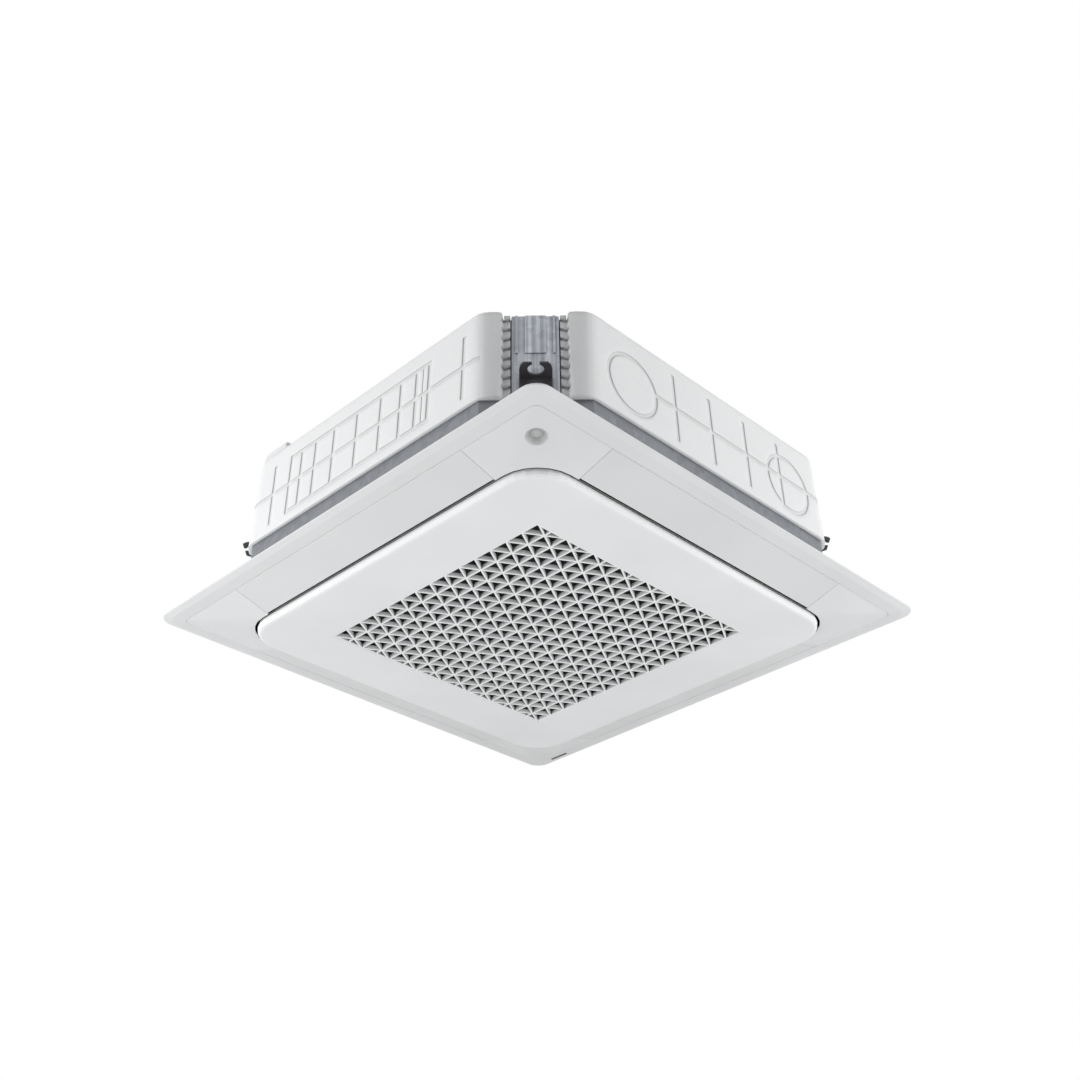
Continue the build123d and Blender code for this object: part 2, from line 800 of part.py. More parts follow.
# ---------------------------------------------------------------- intake panel
with BuildPart() as intake_panel:
    # the edge rounds over to the visible face in short straight steps
    for step in range(bend_steps):
        ends = []
        for done in (step + 1, step):
            spin = radians(90 * done / bend_steps)
            inset = intake_round * (1 - cos(spin))
            outline = square_points(intake_half - inset, intake_corner - inset)
            ends += [outline, intake_level + intake_round * (1 - sin(spin))]
        between(*ends)
    edge_outline = square_points(intake_half, intake_corner)
    between(edge_outline, intake_level + intake_round, edge_outline, intake_top_level)
    # hollow behind the skin
    floor_level = intake_level + intake_skin
    edge_level = intake_level + intake_round
    skin_outline = square_points(intake_half - intake_skin, intake_corner - intake_skin)
    floor_outline = square_points(intake_half - intake_round, intake_corner - intake_round)
    between(floor_outline, floor_level, skin_outline, edge_level, Mode.SUBTRACT)
    between(skin_outline, edge_level, skin_outline, intake_top_level + overlap, Mode.SUBTRACT)
    # wall round the grille opening, filter rails and stiffening ribs
    with BuildSketch(up(intake_level + intake_skin / 2)):
        Rectangle(2 * (grille_half + grille_wall), 2 * (grille_half + grille_wall))
    extrude(amount=grille_wall_level - intake_level - intake_skin / 2)
    for side in (-1, 1):
        block(
            side * (rail_half + rail_wall / 2) - rail_wall / 2,
            side * (rail_half + rail_wall / 2) + rail_wall / 2,
            -grille_half, grille_half,
            intake_level + intake_skin / 2, rail_level,
        )
    for along in intake_rib_spots:
        for angle in sides.values():
            with BuildSketch(up(intake_level + intake_skin / 2)):
                with Locations(Location((0, 0, 0), (0, 0, angle))):
                    with Locations(((intake_rib_in + intake_rib_out) / 2, along)):
                        Rectangle(intake_rib_out - intake_rib_in, intake_rib_thick)
            extrude(amount=intake_rib_rise)
    with BuildSketch(up(intake_level)):
        Rectangle(2 * grille_half, 2 * grille_half)
    extrude(amount=intake_top_level - intake_level, mode=Mode.SUBTRACT)
    # hinge ears, and notches that let the edge pass the knuckles
    for side in (-1, 1):
        for flank in (-1, 1):
            ear_x = side * hinge_x + flank * (knuckle_width / 2 + ear_gap + ear_thick / 2)
            block(
                ear_x - ear_thick / 2, ear_x + ear_thick / 2,
                hinge_y - knuckle_neck, intake_half - intake_skin / 2,
                intake_level + intake_skin / 2, hinge_level + ear_rise,
            )
        block(
            side * hinge_x - knuckle_width / 2 - ear_gap, side * hinge_x + knuckle_width / 2 + ear_gap,
            hinge_y + knuckle_r, intake_half + overlap,
            hinge_level - knuckle_r, intake_top_level + overlap,
            mode=Mode.SUBTRACT,
        )
    with BuildSketch(Plane.YZ):
        with Locations((hinge_y, z_at(hinge_level))):
            Circle(pin_r)
    extrude(amount=hinge_x + knuckle_width + ear_thick, both=True, mode=Mode.SUBTRACT)
    # strikers under the push latches
    striker_top = web_level - latch_drop - plunger_drop - fit_gap
    for side in (-1, 1):
        block(
            side * hinge_x - plunger_width / 2, side * hinge_x + plunger_width / 2,
            latch_y - plunger_width / 2, latch_y + plunger_width / 2,
            intake_level + intake_skin / 2, striker_top,
        )
intake_panel.part.label = "intake_panel"
export_step(intake_panel.part, "parts/intake_panel.step")

with BuildPart() as hinge_pins:
    pin_length = knuckle_width + 2 * ear_gap + 2 * ear_thick
    for side in (-1, 1):
        with BuildSketch(Plane.YZ.offset(side * hinge_x - pin_length / 2)):
            with Locations((hinge_y, z_at(hinge_level))):
                Circle(pin_r)
        extrude(amount=pin_length)
hinge_pins.part.label = "hinge_pins"
export_step(hinge_pins.part, "parts/hinge_pins.step")

# the lattice: equilateral cells between ribs along X and at 60 degrees either way
lattice_half = grille_half - fit_gap
row_pitch = (2 * lattice_half - rib_face) / grille_rows
cell_side = row_pitch * 2 / sqrt(3)
cell_face_r = (cell_side - rib_face * sqrt(3)) / sqrt(3)
rib_draft = degrees(atan2((rib_root - rib_face) / 2, grille_depth))
with BuildPart() as lattice_cell:
    with BuildSketch(up(grille_face_level)):
        RegularPolygon(cell_face_r, 3, rotation=90)
    extrude(amount=grille_depth, taper=rib_draft)
window = lattice_half - rib_face
points_up = []
points_down = []
for row in range(grille_rows):
    row_y = -lattice_half + rib_face / 2 + row * row_pitch
    shift = 0.5 * (row % 2)
    for column in range(-grille_rows, grille_rows):
        up_x = (column + shift + 0.5) * cell_side
        down_x = (column + shift) * cell_side
        if abs(up_x) < window + cell_share * cell_side:
            points_up.append((up_x, row_y + row_pitch / 3))
        if abs(down_x) < window + cell_share * cell_side:
            points_down.append((down_x, row_y + row_pitch * 2 / 3))
with BuildPart() as cells:
    with Locations(*points_up):
        add(lattice_cell.part)
    with Locations(*[Location((x, y, 0), (0, 0, 180)) for x, y in points_down]):
        add(lattice_cell.part)
    with BuildSketch(up(grille_face_level - overlap)):
        Rectangle(2 * window, 2 * window + rib_face)
    extrude(amount=grille_depth + 2 * overlap, mode=Mode.INTERSECT)
with BuildPart() as grille_lattice:
    with BuildSketch(up(grille_face_level)):
        Rectangle(2 * lattice_half, 2 * lattice_half)
    extrude(amount=grille_depth)
    add(cells.part, mode=Mode.SUBTRACT)
grille_lattice.part.label = "grille_lattice"
export_step(grille_lattice.part, "parts/grille_lattice.step")

filter_half = rail_half - fit_gap
filter_level = grille_wall_level + fit_gap
with BuildPart() as filter_frame:
    with BuildSketch(up(filter_level)):
        Rectangle(2 * filter_half, 2 * filter_half)
        Rectangle(2 * (filter_half - filter_rim), 2 * (filter_half - filter_rim), mode=Mode.SUBTRACT)
        with Locations((-filter_half / 3, 0), (filter_half / 3, 0)):
            Rectangle(filter_bar, 2 * filter_half - filter_rim)
        with Locations((0, -filter_half / 3), (0, filter_half / 3)):
            Rectangle(2 * filter_half - filter_rim, filter_bar)
    extrude(amount=filter_depth)
filter_frame.part.label = "filter_frame"
export_step(filter_frame.part, "parts/filter_frame.step")

with BuildPart() as filter_mesh:
    with BuildSketch(up(filter_level + filter_depth)):
        Rectangle(2 * filter_half - filter_rim, 2 * filter_half - filter_rim)
    extrude(amount=mesh_thick)
filter_mesh.part.label = "filter_mesh"
export_step(filter_mesh.part, "parts/filter_mesh.step")


# ---------------------------------------------------------------- push latches
with BuildPart() as latch_bodies:
    for side in (-1, 1):
        block(
            side * hinge_x - latch_width / 2, side * hinge_x + latch_width / 2,
            latch_y - latch_width / 3, latch_y + latch_width / 3,
            web_level - latch_drop, web_level - fit_gap,
        )
        block(
            side * hinge_x - plunger_width / 2 - fit_gap, side * hinge_x + plunger_width / 2 + fit_gap,
            latch_y - plunger_width / 2 - fit_gap, latch_y + plunger_width / 2 + fit_gap,
            web_level - latch_drop, web_level - latch_roof,
            mode=Mode.SUBTRACT,
        )
latch_bodies.part.label = "latch_bodies"
export_step(latch_bodies.part, "parts/latch_bodies.step")

for name, side in (("left", -1), ("right", 1)):
    with BuildPart() as latch_plunger:
        block(
            side * hinge_x - plunger_width / 2, side * hinge_x + plunger_width / 2,
            latch_y - plunger_width / 2, latch_y + plunger_width / 2,
            web_level - latch_drop - plunger_drop, web_level - latch_roof - plunger_travel - fit_gap,
        )
    latch_plunger.part.label = f"latch_plunger_{name}"
    export_step(latch_plunger.part, f"parts/latch_plunger_{name}.step")


# ---------------------------------------------------------------- body side shells
shell_tall = shell_top_level - shell_level


def lean(level, draft=shell_draft):
    """How far the shells' faces have leant in at a level."""
    return (level - shell_level) * tan(radians(draft))


def shell_stack(sections, mode=Mode.ADD):
    """Solid through outlines of the shells' plan: pairs of level and inset from the outer form."""
    rings = []
    for level, inset in sections:
        corner = body_corner - inset - lean(level, corner_draft) + lean(level)
        rings.append((bent_points(body_half - inset, corner, shell_bend - inset), level))
    for low, high in zip(rings, rings[1:]):
        between(*low, *high, mode=mode)


with BuildPart() as shell_ring:
    # leaning faces, and a top edge that rounds over in short straight steps
    sections = [(shell_level, 0.0)]
    for step in range(bend_steps + 1):
        spin = radians(90 * step / bend_steps)
        level = shell_top_level - shell_round * (1 - sin(spin))
        sections.append((level, lean(shell_top_level - shell_round) + shell_round * (1 - cos(spin))))
    shell_stack(sections)
    with BuildSketch(up(shell_level)):
        cut_square(body_half - shell_wall, body_corner - shell_wall)
    extrude(amount=shell_tall, mode=Mode.SUBTRACT)

with BuildPart() as groove_layer:
    top_lean = lean(shell_top_level)
    shell_stack([(shell_level, -overlap), (shell_top_level, top_lean - overlap)])
    shell_stack([(shell_level, groove_depth), (shell_top_level, top_lean + groove_depth)], Mode.SUBTRACT)

with BuildPart() as corner_channel:
    # gap for the corner post, a notched strip on both sides of it, and the shells' rounded ends
    flank = [(post_face - shell_wall, channel_half), (strip_face, channel_half)]
    flank += arc_points(strip_face, strip_half + lobe_round, lobe_round, -90, 90, bend_steps)
    flank += [(body_corner + shell_wall, strip_half + lobe_round)]
    with BuildSketch(up(shell_level)):
        Polygon(*flank, *[(x, -y) for x, y in flank[::-1]], align=None)
    extrude(amount=shell_tall)
    block(
        post_face - shell_wall, body_corner + shell_wall, -strip_half, strip_half,
        strip_top_level, shell_top_level,
    )
    # round shoulder where each end meets the top
    shoulder_z = z_at(shell_top_level) - shoulder
    crown = arc_points(strip_half + shoulder, shoulder_z, shoulder, 180, -90, bend_steps)
    crown += [(strip_half + shoulder, shoulder_z + 2 * shoulder)]
    crown += [(strip_half - overlap, shoulder_z + 2 * shoulder)]
    crown += [(strip_half - overlap, shoulder_z)]
    with BuildSketch(Plane.YZ.offset(post_face - shell_wall)):
        Polygon(*crown, align=None)
        Polygon(*[(-y, z) for y, z in crown[::-1]], align=None)
    extrude(amount=2 * shell_wall)
    # slanted notches
    for notch in range(notch_count):
        low = z_at(notch_start_level + notch * notch_pitch)
        outline = [
            (channel_half - overlap, low + notch_slant),
            (strip_half + notch_flank, low),
            (strip_half + notch_flank, low + notch_height),
            (channel_half - overlap, low + notch_slant + notch_height),
        ]
        with BuildSketch(Plane.YZ.offset(strip_face - notch_depth)):
            Polygon(*outline, align=None)
            Polygon(*[(-y, z) for y, z in outline[::-1]], align=None)
        extrude(amount=notch_depth + lobe_round)


def shell_for(grooves):
    """One side's shell, on the +X side, with its grooves cut into the outer face."""
    with BuildPart() as shell:
        add(shell_ring.part)
        with BuildSketch(up(shell_level)):
            Polygon((0, 0), (panel_half, -panel_half), (panel_half, panel_half), align=None)
        extrude(amount=shell_tall, mode=Mode.INTERSECT)
        for angle in (-45, 45):
            add(turned(corner_channel.part, angle), mode=Mode.SUBTRACT)
        add(grooves, mode=Mode.SUBTRACT)
    return shell.part


with BuildPart() as long_side_grooves:
    # a grid of narrow fields, as on the front
    with BuildSketch(Plane.YZ):
        low, middle, high = grid_levels
        with Locations((grid_shift, z_at(low)), (grid_shift, z_at(high))):
            Rectangle(2 * grid_reach + groove_width, groove_width)
        with Locations((grid_shift, z_at(middle))):
            Rectangle(2 * cross_end, groove_width)
        column_z = z_at((low + high) / 2)
        with Locations(*[(y + grid_shift, column_z) for y in grid_columns + edge_columns]):
            Rectangle(groove_width, high - low + groove_width)
        with Locations((thin_column + grid_shift, column_z)):
            Rectangle(groove_width / 4, high - low + groove_width)
    extrude(amount=body_half + 2 * overlap)
    add(groove_layer.part, mode=Mode.INTERSECT)

with BuildPart() as round_side_grooves:
    # a coarse grid between round knock-out marks, as on the right
    with BuildSketch(Plane.YZ):
        with Locations((-mark_spot, z_at(mark_level)), (mark_spot, z_at(mark_level))):
            disc(mark_r + groove_width / 2, ring_steps)
            disc(mark_r - groove_width / 2, ring_steps, Mode.SUBTRACT)
        with Locations(((cross_start + cross_end) / 2, z_at(cross_level))):
            Rectangle(cross_end - cross_start, groove_width)
        with Locations(*[(y, z_at(column_level)) for y in cross_columns]):
            Rectangle(groove_width, column_height)
    extrude(amount=body_half + 2 * overlap)
    add(groove_layer.part, mode=Mode.INTERSECT)

with BuildPart() as piped_side_grooves:
    # the left side keeps the grid, and leaves the pipe plate's corner free
    with BuildSketch(Plane.YZ):
        with Locations((0, z_at(cross_level))):
            Rectangle(-2 * cross_start, groove_width)
        with Locations(*[(y, z_at(column_level)) for y in cross_columns[:3]]):
            Rectangle(groove_width, column_height)
        with Locations((mark_spot, z_at(mark_level))):
            disc(mark_r + groove_width / 2, ring_steps)
            disc(mark_r - groove_width / 2, ring_steps, Mode.SUBTRACT)
    extrude(amount=body_half + 2 * overlap)
    add(groove_layer.part, mode=Mode.INTERSECT)

plain_long_side = shell_for(long_side_grooves.part)
with BuildPart() as front_shell:
    add(plain_long_side)
    # raised stretch of the top edge, rounded at its outer end
    with BuildPart(mode=Mode.PRIVATE) as bump:
        bump_foot = shell_top_level - shell_round
        bump_top = shell_top_level + bump_rise
        sections = [(bump_foot, lean(bump_foot) + bump_inset)]
        for step in range(3):
            spin = radians(90 * step / 2)
            level = bump_top - bump_rise * (1 - sin(spin))
            sections.append((level, lean(shell_top_level) + bump_inset + bump_rise / 2 * (1 - cos(spin))))
        shell_stack(sections)
        with BuildSketch(up(bump_foot)):
            cut_square(body_half - shell_wall, body_corner - shell_wall)
        extrude(amount=bump_top - bump_foot, mode=Mode.SUBTRACT)
        outline = arc_points(bump_start + bump_round, z_at(bump_top) - bump_round, bump_round, 180, -90, 3)
        outline += [(bump_end - bump_rise, z_at(bump_top)), (bump_end, z_at(bump_foot))]
        outline += [(bump_start, z_at(bump_foot))]
        with BuildSketch(Plane.YZ.offset(slope_half)):
            Polygon(*outline, align=None)
        extrude(amount=body_half - slope_half, mode=Mode.INTERSECT)
    add(bump.part)
piece = turned(front_shell.part, front)
piece.label = "side_shell_front"
export_step(piece, "parts/side_shell_front.step")

piece = turned(plain_long_side, sides["back"])
piece.label = "side_shell_back"
export_step(piece, "parts/side_shell_back.step")

piece = shell_for(round_side_grooves.part)
piece.label = "side_shell_right"
export_step(piece, "parts/side_shell_right.step")

with BuildPart() as left_shell:
    add(shell_for(piped_side_grooves.part))
    # hatch for pipes and drain, closed by the pipe plate
    block(
        body_half - 2 * shell_wall, body_half + shell_wall,
        -plate_y1 - fit_gap, -plate_y0 + fit_gap,
        plate_level0 - fit_gap, plate_level1 + fit_gap,
        mode=Mode.SUBTRACT,
    )
piece = turned(left_shell.part, sides["left"])
piece.label = "side_shell_left"
export_step(piece, "parts/side_shell_left.step")


# ---------------------------------------------------------------- base band, corner posts, hangers
with BuildPart() as base_band:
    with BuildSketch(up(band_level)):
        cut_square(band_half, band_corner)
        cut_square(band_half - sheet, band_corner - sheet, Mode.SUBTRACT)
    extrude(amount=band_top_level - band_level)
    # ledge for the side shells, and foot flange with the panel screws' holes
    with BuildSketch(up(band_top_level - sheet)):
        cut_square(band_half, band_corner)
        cut_square(ledge_half, ledge_corner, Mode.SUBTRACT)
    extrude(amount=sheet)
    with BuildSketch(up(band_level)):
        cut_square(band_half, band_corner)
        cut_square(foot_half, foot_corner, Mode.SUBTRACT)
        with Locations(*on_sides(screw_half, screw_reach)):
            disc(screw_hole_r, 8, Mode.SUBTRACT)
    extrude(amount=sheet)
base_band.part.label = "base_band"
export_step(base_band.part, "parts/base_band.step")

post_foot = band_level + sheet + fit_gap
post_top = top_level - sheet - fit_gap
hanger_screw_spots = [(side * hanger_width / 4, -hanger_screw_drop) for side in (-1, 1)]
with BuildPart() as corner_post:
    # hat-shaped sheet: flanges behind two shells, floor in the channel between them
    flange_face = post_face - post_step
    with BuildSketch(up(post_foot)):
        Polygon(
            (flange_face, -post_flange_half),
            (flange_face, -post_floor_half - sheet),
            (post_face, -post_floor_half),
            (post_face, post_floor_half),
            (flange_face, post_floor_half + sheet),
            (flange_face, post_flange_half),
            (flange_face - sheet, post_flange_half),
            (flange_face - sheet, post_floor_half),
            (post_face - sheet, post_floor_half - sheet),
            (post_face - sheet, -post_floor_half + sheet),
            (flange_face - sheet, -post_floor_half),
            (flange_face - sheet, -post_flange_half),
            align=None,
        )
    extrude(amount=post_top - post_foot)
    # raised middle field and two folds above the hanger bracket
    with BuildSketch(up(fold_level)):
        with Locations((post_face, 0)):
            Rectangle(2 * fold_rise, field_width)
        with Locations((post_face, -fold_spot), (post_face, fold_spot)):
            Rectangle(2 * fold_rise, fold_width)
    extrude(amount=post_top - fold_level)
    # holes of the two bracket screws
    with BuildSketch(Plane.YZ.offset(post_face - 2 * sheet)):
        with Locations(*hanger_screw_spots):
            disc(stud_r, 8)
    extrude(amount=3 * sheet, mode=Mode.SUBTRACT)
with BuildPart() as corner_posts:
    for angle in corners.values():
        add(turned(corner_post.part, angle))
corner_posts.part.label = "corner_posts"
export_step(corner_posts.part, "parts/corner_posts.step")

with BuildPart() as hanger:
    # plate with a hook-shaped hole that opens outwards
    hole_at = hanger_hole / 2 * root_two
    flange_at = post_face + fit_gap
    with BuildSketch(up(hanger_level)):
        with Locations(((flange_at + hole_at) / 2, 0)):
            Rectangle(hole_at - flange_at, hanger_width)
        with Locations((hole_at, 0)):
            disc(hanger_width / 2, 16)
            Circle(hanger_hole_r, mode=Mode.SUBTRACT)
        with Locations((hole_at + hanger_width / 2, 0)):
            Rectangle(hanger_width, hanger_mouth, mode=Mode.SUBTRACT)
        for trim_at in (hanger_tip + hanger_width / 2, flange_at - hanger_width / 2):
            with Locations((trim_at, 0)):
                Rectangle(hanger_width, 2 * hanger_width, mode=Mode.SUBTRACT)
    extrude(amount=hanger_sheet)
    # upright flange against the post
    with BuildSketch(up(hanger_level - hanger_drop)):
        with Locations((flange_at + hanger_sheet / 2, 0)):
            Rectangle(hanger_sheet, hanger_width)
    extrude(amount=hanger_drop + hanger_sheet)
    with BuildSketch(Plane.YZ.offset(flange_at)):
        with Locations(*hanger_screw_spots):
            disc(stud_r, 8)
    extrude(amount=hanger_sheet, mode=Mode.SUBTRACT)
with BuildPart() as hangers:
    for angle in corners.values():
        add(turned(hanger.part, angle))
hangers.part.label = "hanger_brackets"
export_step(hangers.part, "parts/hanger_brackets.step")

with BuildPart() as hanger_screw_pair:
    with BuildSketch(Plane.YZ.offset(flange_at + hanger_sheet)):
        with Locations(*hanger_screw_spots):
            RegularPolygon(2 * stud_r, 6)
    extrude(amount=screw_head)
    with BuildSketch(Plane.YZ.offset(post_face - 2 * sheet)):
        with Locations(*hanger_screw_spots):
            disc(stud_r - screw_play / 2, 8)
    extrude(amount=fit_gap + hanger_sheet + 2 * sheet)
with BuildPart() as hanger_screws:
    for angle in corners.values():
        add(turned(hanger_screw_pair.part, angle))
hanger_screws.part.label = "hanger_screws"
export_step(hanger_screws.part, "parts/hanger_screws.step")


# ---------------------------------------------------------------- drain pan, seals, bell mouth
pan_foot = band_level + sheet + fit_gap
coil_in = coil_half - coil_depth
trough_out = coil_half + trough_side
trough_in = coil_in - trough_side
with BuildPart() as drain_pan:
    with BuildSketch(up(pan_foot)):
        cut_square(pan_half, pan_corner)
    extrude(amount=pan_level - pan_foot)
    # outer wall up to the ledge of the base band
    with BuildSketch(up(pan_level)):
        cut_square(pan_half, pan_corner)
        cut_square(pan_half - pan_wall, pan_corner - pan_wall, Mode.SUBTRACT)
    extrude(amount=band_top_level - sheet - fit_gap - pan_level)
    # trough under the heat exchanger
    with BuildSketch(up(trough_level)):
        square(trough_out, coil_corner + trough_side)
        square(trough_in, coil_corner - coil_depth - trough_side, Mode.SUBTRACT)
    extrude(amount=pan_level - trough_level, mode=Mode.SUBTRACT)
    # air slots, eye and the control box's pocket
    with BuildSketch(up(pan_foot)):
        with Locations(*on_sides((slot_in + slot_out) / 2, 0)[0::2]):
            Rectangle(slot_out - slot_in, 2 * slot_reach)
        with Locations(*on_sides((slot_in + slot_out) / 2, 0)[1::2]):
            Rectangle(2 * slot_reach, slot_out - slot_in)
        disc(eye_r, ring_steps)
    extrude(amount=pan_level - pan_foot, mode=Mode.SUBTRACT)
    block(
        -box_half - box_room, box_half + box_room, box_y0 - box_room, box_y1 + box_room,
        pan_foot, box_top_level + fit_gap, mode=Mode.SUBTRACT,
    )
drain_pan.part.label = "drain_pan"
export_step(drain_pan.part, "parts/drain_pan.step")

with BuildPart() as outlet_seal:
    seal_foot = deck_top + fit_gap
    with BuildSketch(up(seal_foot)):
        with Locations(((seal_in + seal_out) / 2, 0)):
            Rectangle(seal_out - seal_in, 2 * seal_reach)
        with Locations(((wall_half + duct_out) / 2, 0)):
            Rectangle(duct_out - wall_half, 2 * duct_reach, mode=Mode.SUBTRACT)
    extrude(amount=band_level - fit_gap - seal_foot)
with BuildPart() as outlet_seals:
    for angle in sides.values():
        add(turned(outlet_seal.part, angle))
outlet_seals.part.label = "outlet_seals"
export_step(outlet_seals.part, "parts/outlet_seals.step")

with BuildPart() as intake_seal:
    with BuildSketch(up(lip_level + fit_gap)):
        square(web_half + skin + seal_flank, web_corner + skin + seal_flank)
        square(web_half - seal_flank, web_corner, Mode.SUBTRACT)
    extrude(amount=pan_foot - lip_level - 2 * fit_gap)
intake_seal.part.label = "intake_seal"
export_step(intake_seal.part, "parts/intake_seal.step")

bell_foot = pan_foot - fit_gap - bell_wall
bell_centre = (throat_r + bell_round, bell_foot + bell_round)
with BuildPart() as bell_mouth:
    # the throat flares to the flange in short straight steps
    outer_arc = arc_points(*bell_centre, bell_round - bell_wall, 270, -90, bend_steps)
    round_stack([(bell_flange_r, bell_foot), (bell_flange_r, bell_foot + bell_wall)], ring_steps)
    round_stack(outer_arc + [(throat_r + bell_wall, bell_top_level)], ring_steps)
    inner_arc = arc_points(*bell_centre, bell_round, 270, -90, bend_steps)
    round_stack(inner_arc + [(throat_r, bell_top_level)], ring_steps, Mode.SUBTRACT)
bell_mouth.part.label = "bell_mouth"
export_step(bell_mouth.part, "parts/bell_mouth.step")

with BuildPart() as bell_screws:
    screw_ring = (eye_r + bell_flange_r) / 2
    with BuildSketch(up(bell_foot - fit_gap)):
        with PolarLocations(screw_ring, 4, start_angle=45):
            RegularPolygon(bell_screw_r, 6)
    extrude(amount=-bell_screw_head)
bell_screws.part.label = "bell_mouth_screws"
export_step(bell_screws.part, "parts/bell_mouth_screws.step")


# ---------------------------------------------------------------- top plate and its foam
with BuildPart() as top_plate:
    with BuildSketch(up(top_level - sheet)):
        cut_square(top_half, top_corner)
    extrude(amount=sheet)
    with BuildSketch(up(top_level - sheet)):
        cut_square(top_half, top_corner)
        cut_square(top_half - sheet, top_corner - sheet, Mode.SUBTRACT)
    extrude(amount=-top_drop)
    # pressed ring and four pressed ribs round the motor
    with BuildSketch(up(top_level - sheet / 2)):
        ring_in = foam_eye_r + ring_gap
        disc(ring_in + ring_width, ring_steps)
        disc(ring_in, ring_steps, Mode.SUBTRACT)
        rib_start = ring_in + ring_width / 2
        rib_end = top_half - top_rib_margin
        with PolarLocations((rib_start + rib_end) / 2, 4, start_angle=45):
            Rectangle(rib_end - rib_start, top_rib_width)
    extrude(amount=press_rise)
    with BuildSketch(up(top_level - sheet)):
        with PolarLocations(mount_ring_r, 4, start_angle=45):
            disc(stud_r + fit_gap, 8)
    extrude(amount=sheet, mode=Mode.SUBTRACT)
top_plate.part.label = "top_plate"
export_step(top_plate.part, "parts/top_plate.step")

foam_top = top_level - sheet - fit_gap
with BuildPart() as top_foam:
    with BuildSketch(up(foam_top - foam_thick)):
        foam_inset = sheet + foam_edge_gap
        cut_square(top_half - foam_inset, top_corner - foam_inset)
        disc(foam_eye_r, ring_steps, Mode.SUBTRACT)
    extrude(amount=foam_thick)
top_foam.part.label = "top_foam"
export_step(top_foam.part, "parts/top_foam.step")


# ---------------------------------------------------------------- heat exchanger and pipes
coil_foot = trough_level + 2 * fit_gap
coil_top = foam_top - foam_thick - fit_gap
with BuildPart() as coil_fins:
    with BuildSketch(up(coil_foot)):
        square(coil_half, coil_corner)
        square(coil_in, coil_corner - coil_depth, Mode.SUBTRACT)
        # the open corner, where the pipes come in
        with Locations((-coil_end - coil_half / 2, coil_end + coil_half / 2)):
            Rectangle(coil_half, coil_half, mode=Mode.SUBTRACT)
    extrude(amount=coil_top - coil_foot)
coil_fins.part.label = "coil_fins"
export_step(coil_fins.part, "parts/coil_fins.step")

with BuildPart() as coil_end_plates:
    plate_at = coil_end + fit_gap + end_plate / 2
    plate_width = coil_depth + end_plate_spare
    for spot, size in (
        ((-plate_at, coil_half - coil_depth / 2), (end_plate, plate_width)),
        ((-coil_half + coil_depth / 2, plate_at), (plate_width, end_plate)),
    ):
        with BuildSketch(up(coil_foot)):
            with Locations(spot):
                Rectangle(*size)
        extrude(amount=coil_top - coil_foot)
coil_end_plates.part.label = "coil_end_plates"
export_step(coil_end_plates.part, "parts/coil_end_plates.step")

plate_out = coil_end + 2 * fit_gap + end_plate
nut_end = pipe_end - free_end - nut_gap
with BuildPart() as return_bends:
    for level in bend_levels:
        bend_y = coil_half - coil_depth / 2
        with BuildLine(Plane.XZ.offset(-bend_y)) as bend_path:
            bend_points = arc_points(-plate_out - tube_r, z_at(level), return_bend_r, 270, -180, 4)
            low_end = (-plate_out, z_at(level - return_bend_r))
            high_end = (-plate_out, z_at(level + return_bend_r))
            Polyline(low_end, *bend_points, high_end)
        with BuildSketch(Plane((-plate_out, bend_y, z_at(level - return_bend_r)), z_dir=(-1, 0, 0))):
            disc(tube_r, 6)
        sweep(path=bend_path.line, transition=Transition.RIGHT)
return_bends.part.label = "return_bends"
export_step(return_bends.part, "parts/return_bends.step")

with BuildPart() as gas_pipe:
    # header beside the coil's end plate, three stubs into it, and the pipe out of the body
    with BuildSketch(up(gas_level - header_drop)):
        with Locations((riser_x, riser_y)):
            disc(gas_pipe_r + header_wall)
    extrude(amount=header_tall)
    with BuildSketch(Plane.XZ.offset(-plate_out)):
        with Locations(*[(riser_x, z_at(gas_level + drop)) for drop in stub_drops]):
            disc(tube_r, 6)
    extrude(amount=-(riser_y - plate_out))
    with BuildSketch(Plane.YZ.offset(riser_x)):
        with Locations((riser_y, z_at(gas_level))):
            Circle(gas_pipe_r)
    extrude(amount=-(pipe_end + riser_x))
    with BuildSketch(Plane.YZ.offset(-nut_end)):
        with Locations((riser_y, z_at(gas_level))):
            disc(gas_pipe_r + bead, 16)
    extrude(amount=-(pipe_end - free_end - nut_end))
gas_pipe.part.label = "gas_pipe"
export_step(gas_pipe.part, "parts/gas_pipe.step")

with BuildPart() as liquid_pipe:
    # brass distributor with three feeders into the coil, and the pipe out of the body
    with BuildSketch(up(liquid_level - distributor_half)):
        with Locations((riser_x, riser_y)):
            disc(distributor_r)
    with BuildSketch(up(liquid_level + distributor_half)):
        with Locations((riser_x, riser_y)):
            disc(distributor_top_r)
    loft(ruled=True)
    with BuildSketch(Plane.XZ.offset(-plate_out)):
        with Locations(*[(riser_x + shift, z_at(liquid_level)) for shift in feeder_shifts]):
            disc(tube_r / 2, 6)
    extrude(amount=-(riser_y - plate_out))
    with BuildSketch(Plane.YZ.offset(riser_x)):
        with Locations((riser_y, z_at(liquid_level))):
            Circle(liquid_pipe_r)
    extrude(amount=-(pipe_end + riser_x))
    with BuildSketch(Plane.YZ.offset(-nut_end)):
        with Locations((riser_y, z_at(liquid_level))):
            disc(liquid_pipe_r + bead, 16)
    extrude(amount=-(pipe_end - free_end - nut_end))
liquid_pipe.part.label = "liquid_pipe"
export_step(liquid_pipe.part, "parts/liquid_pipe.step")

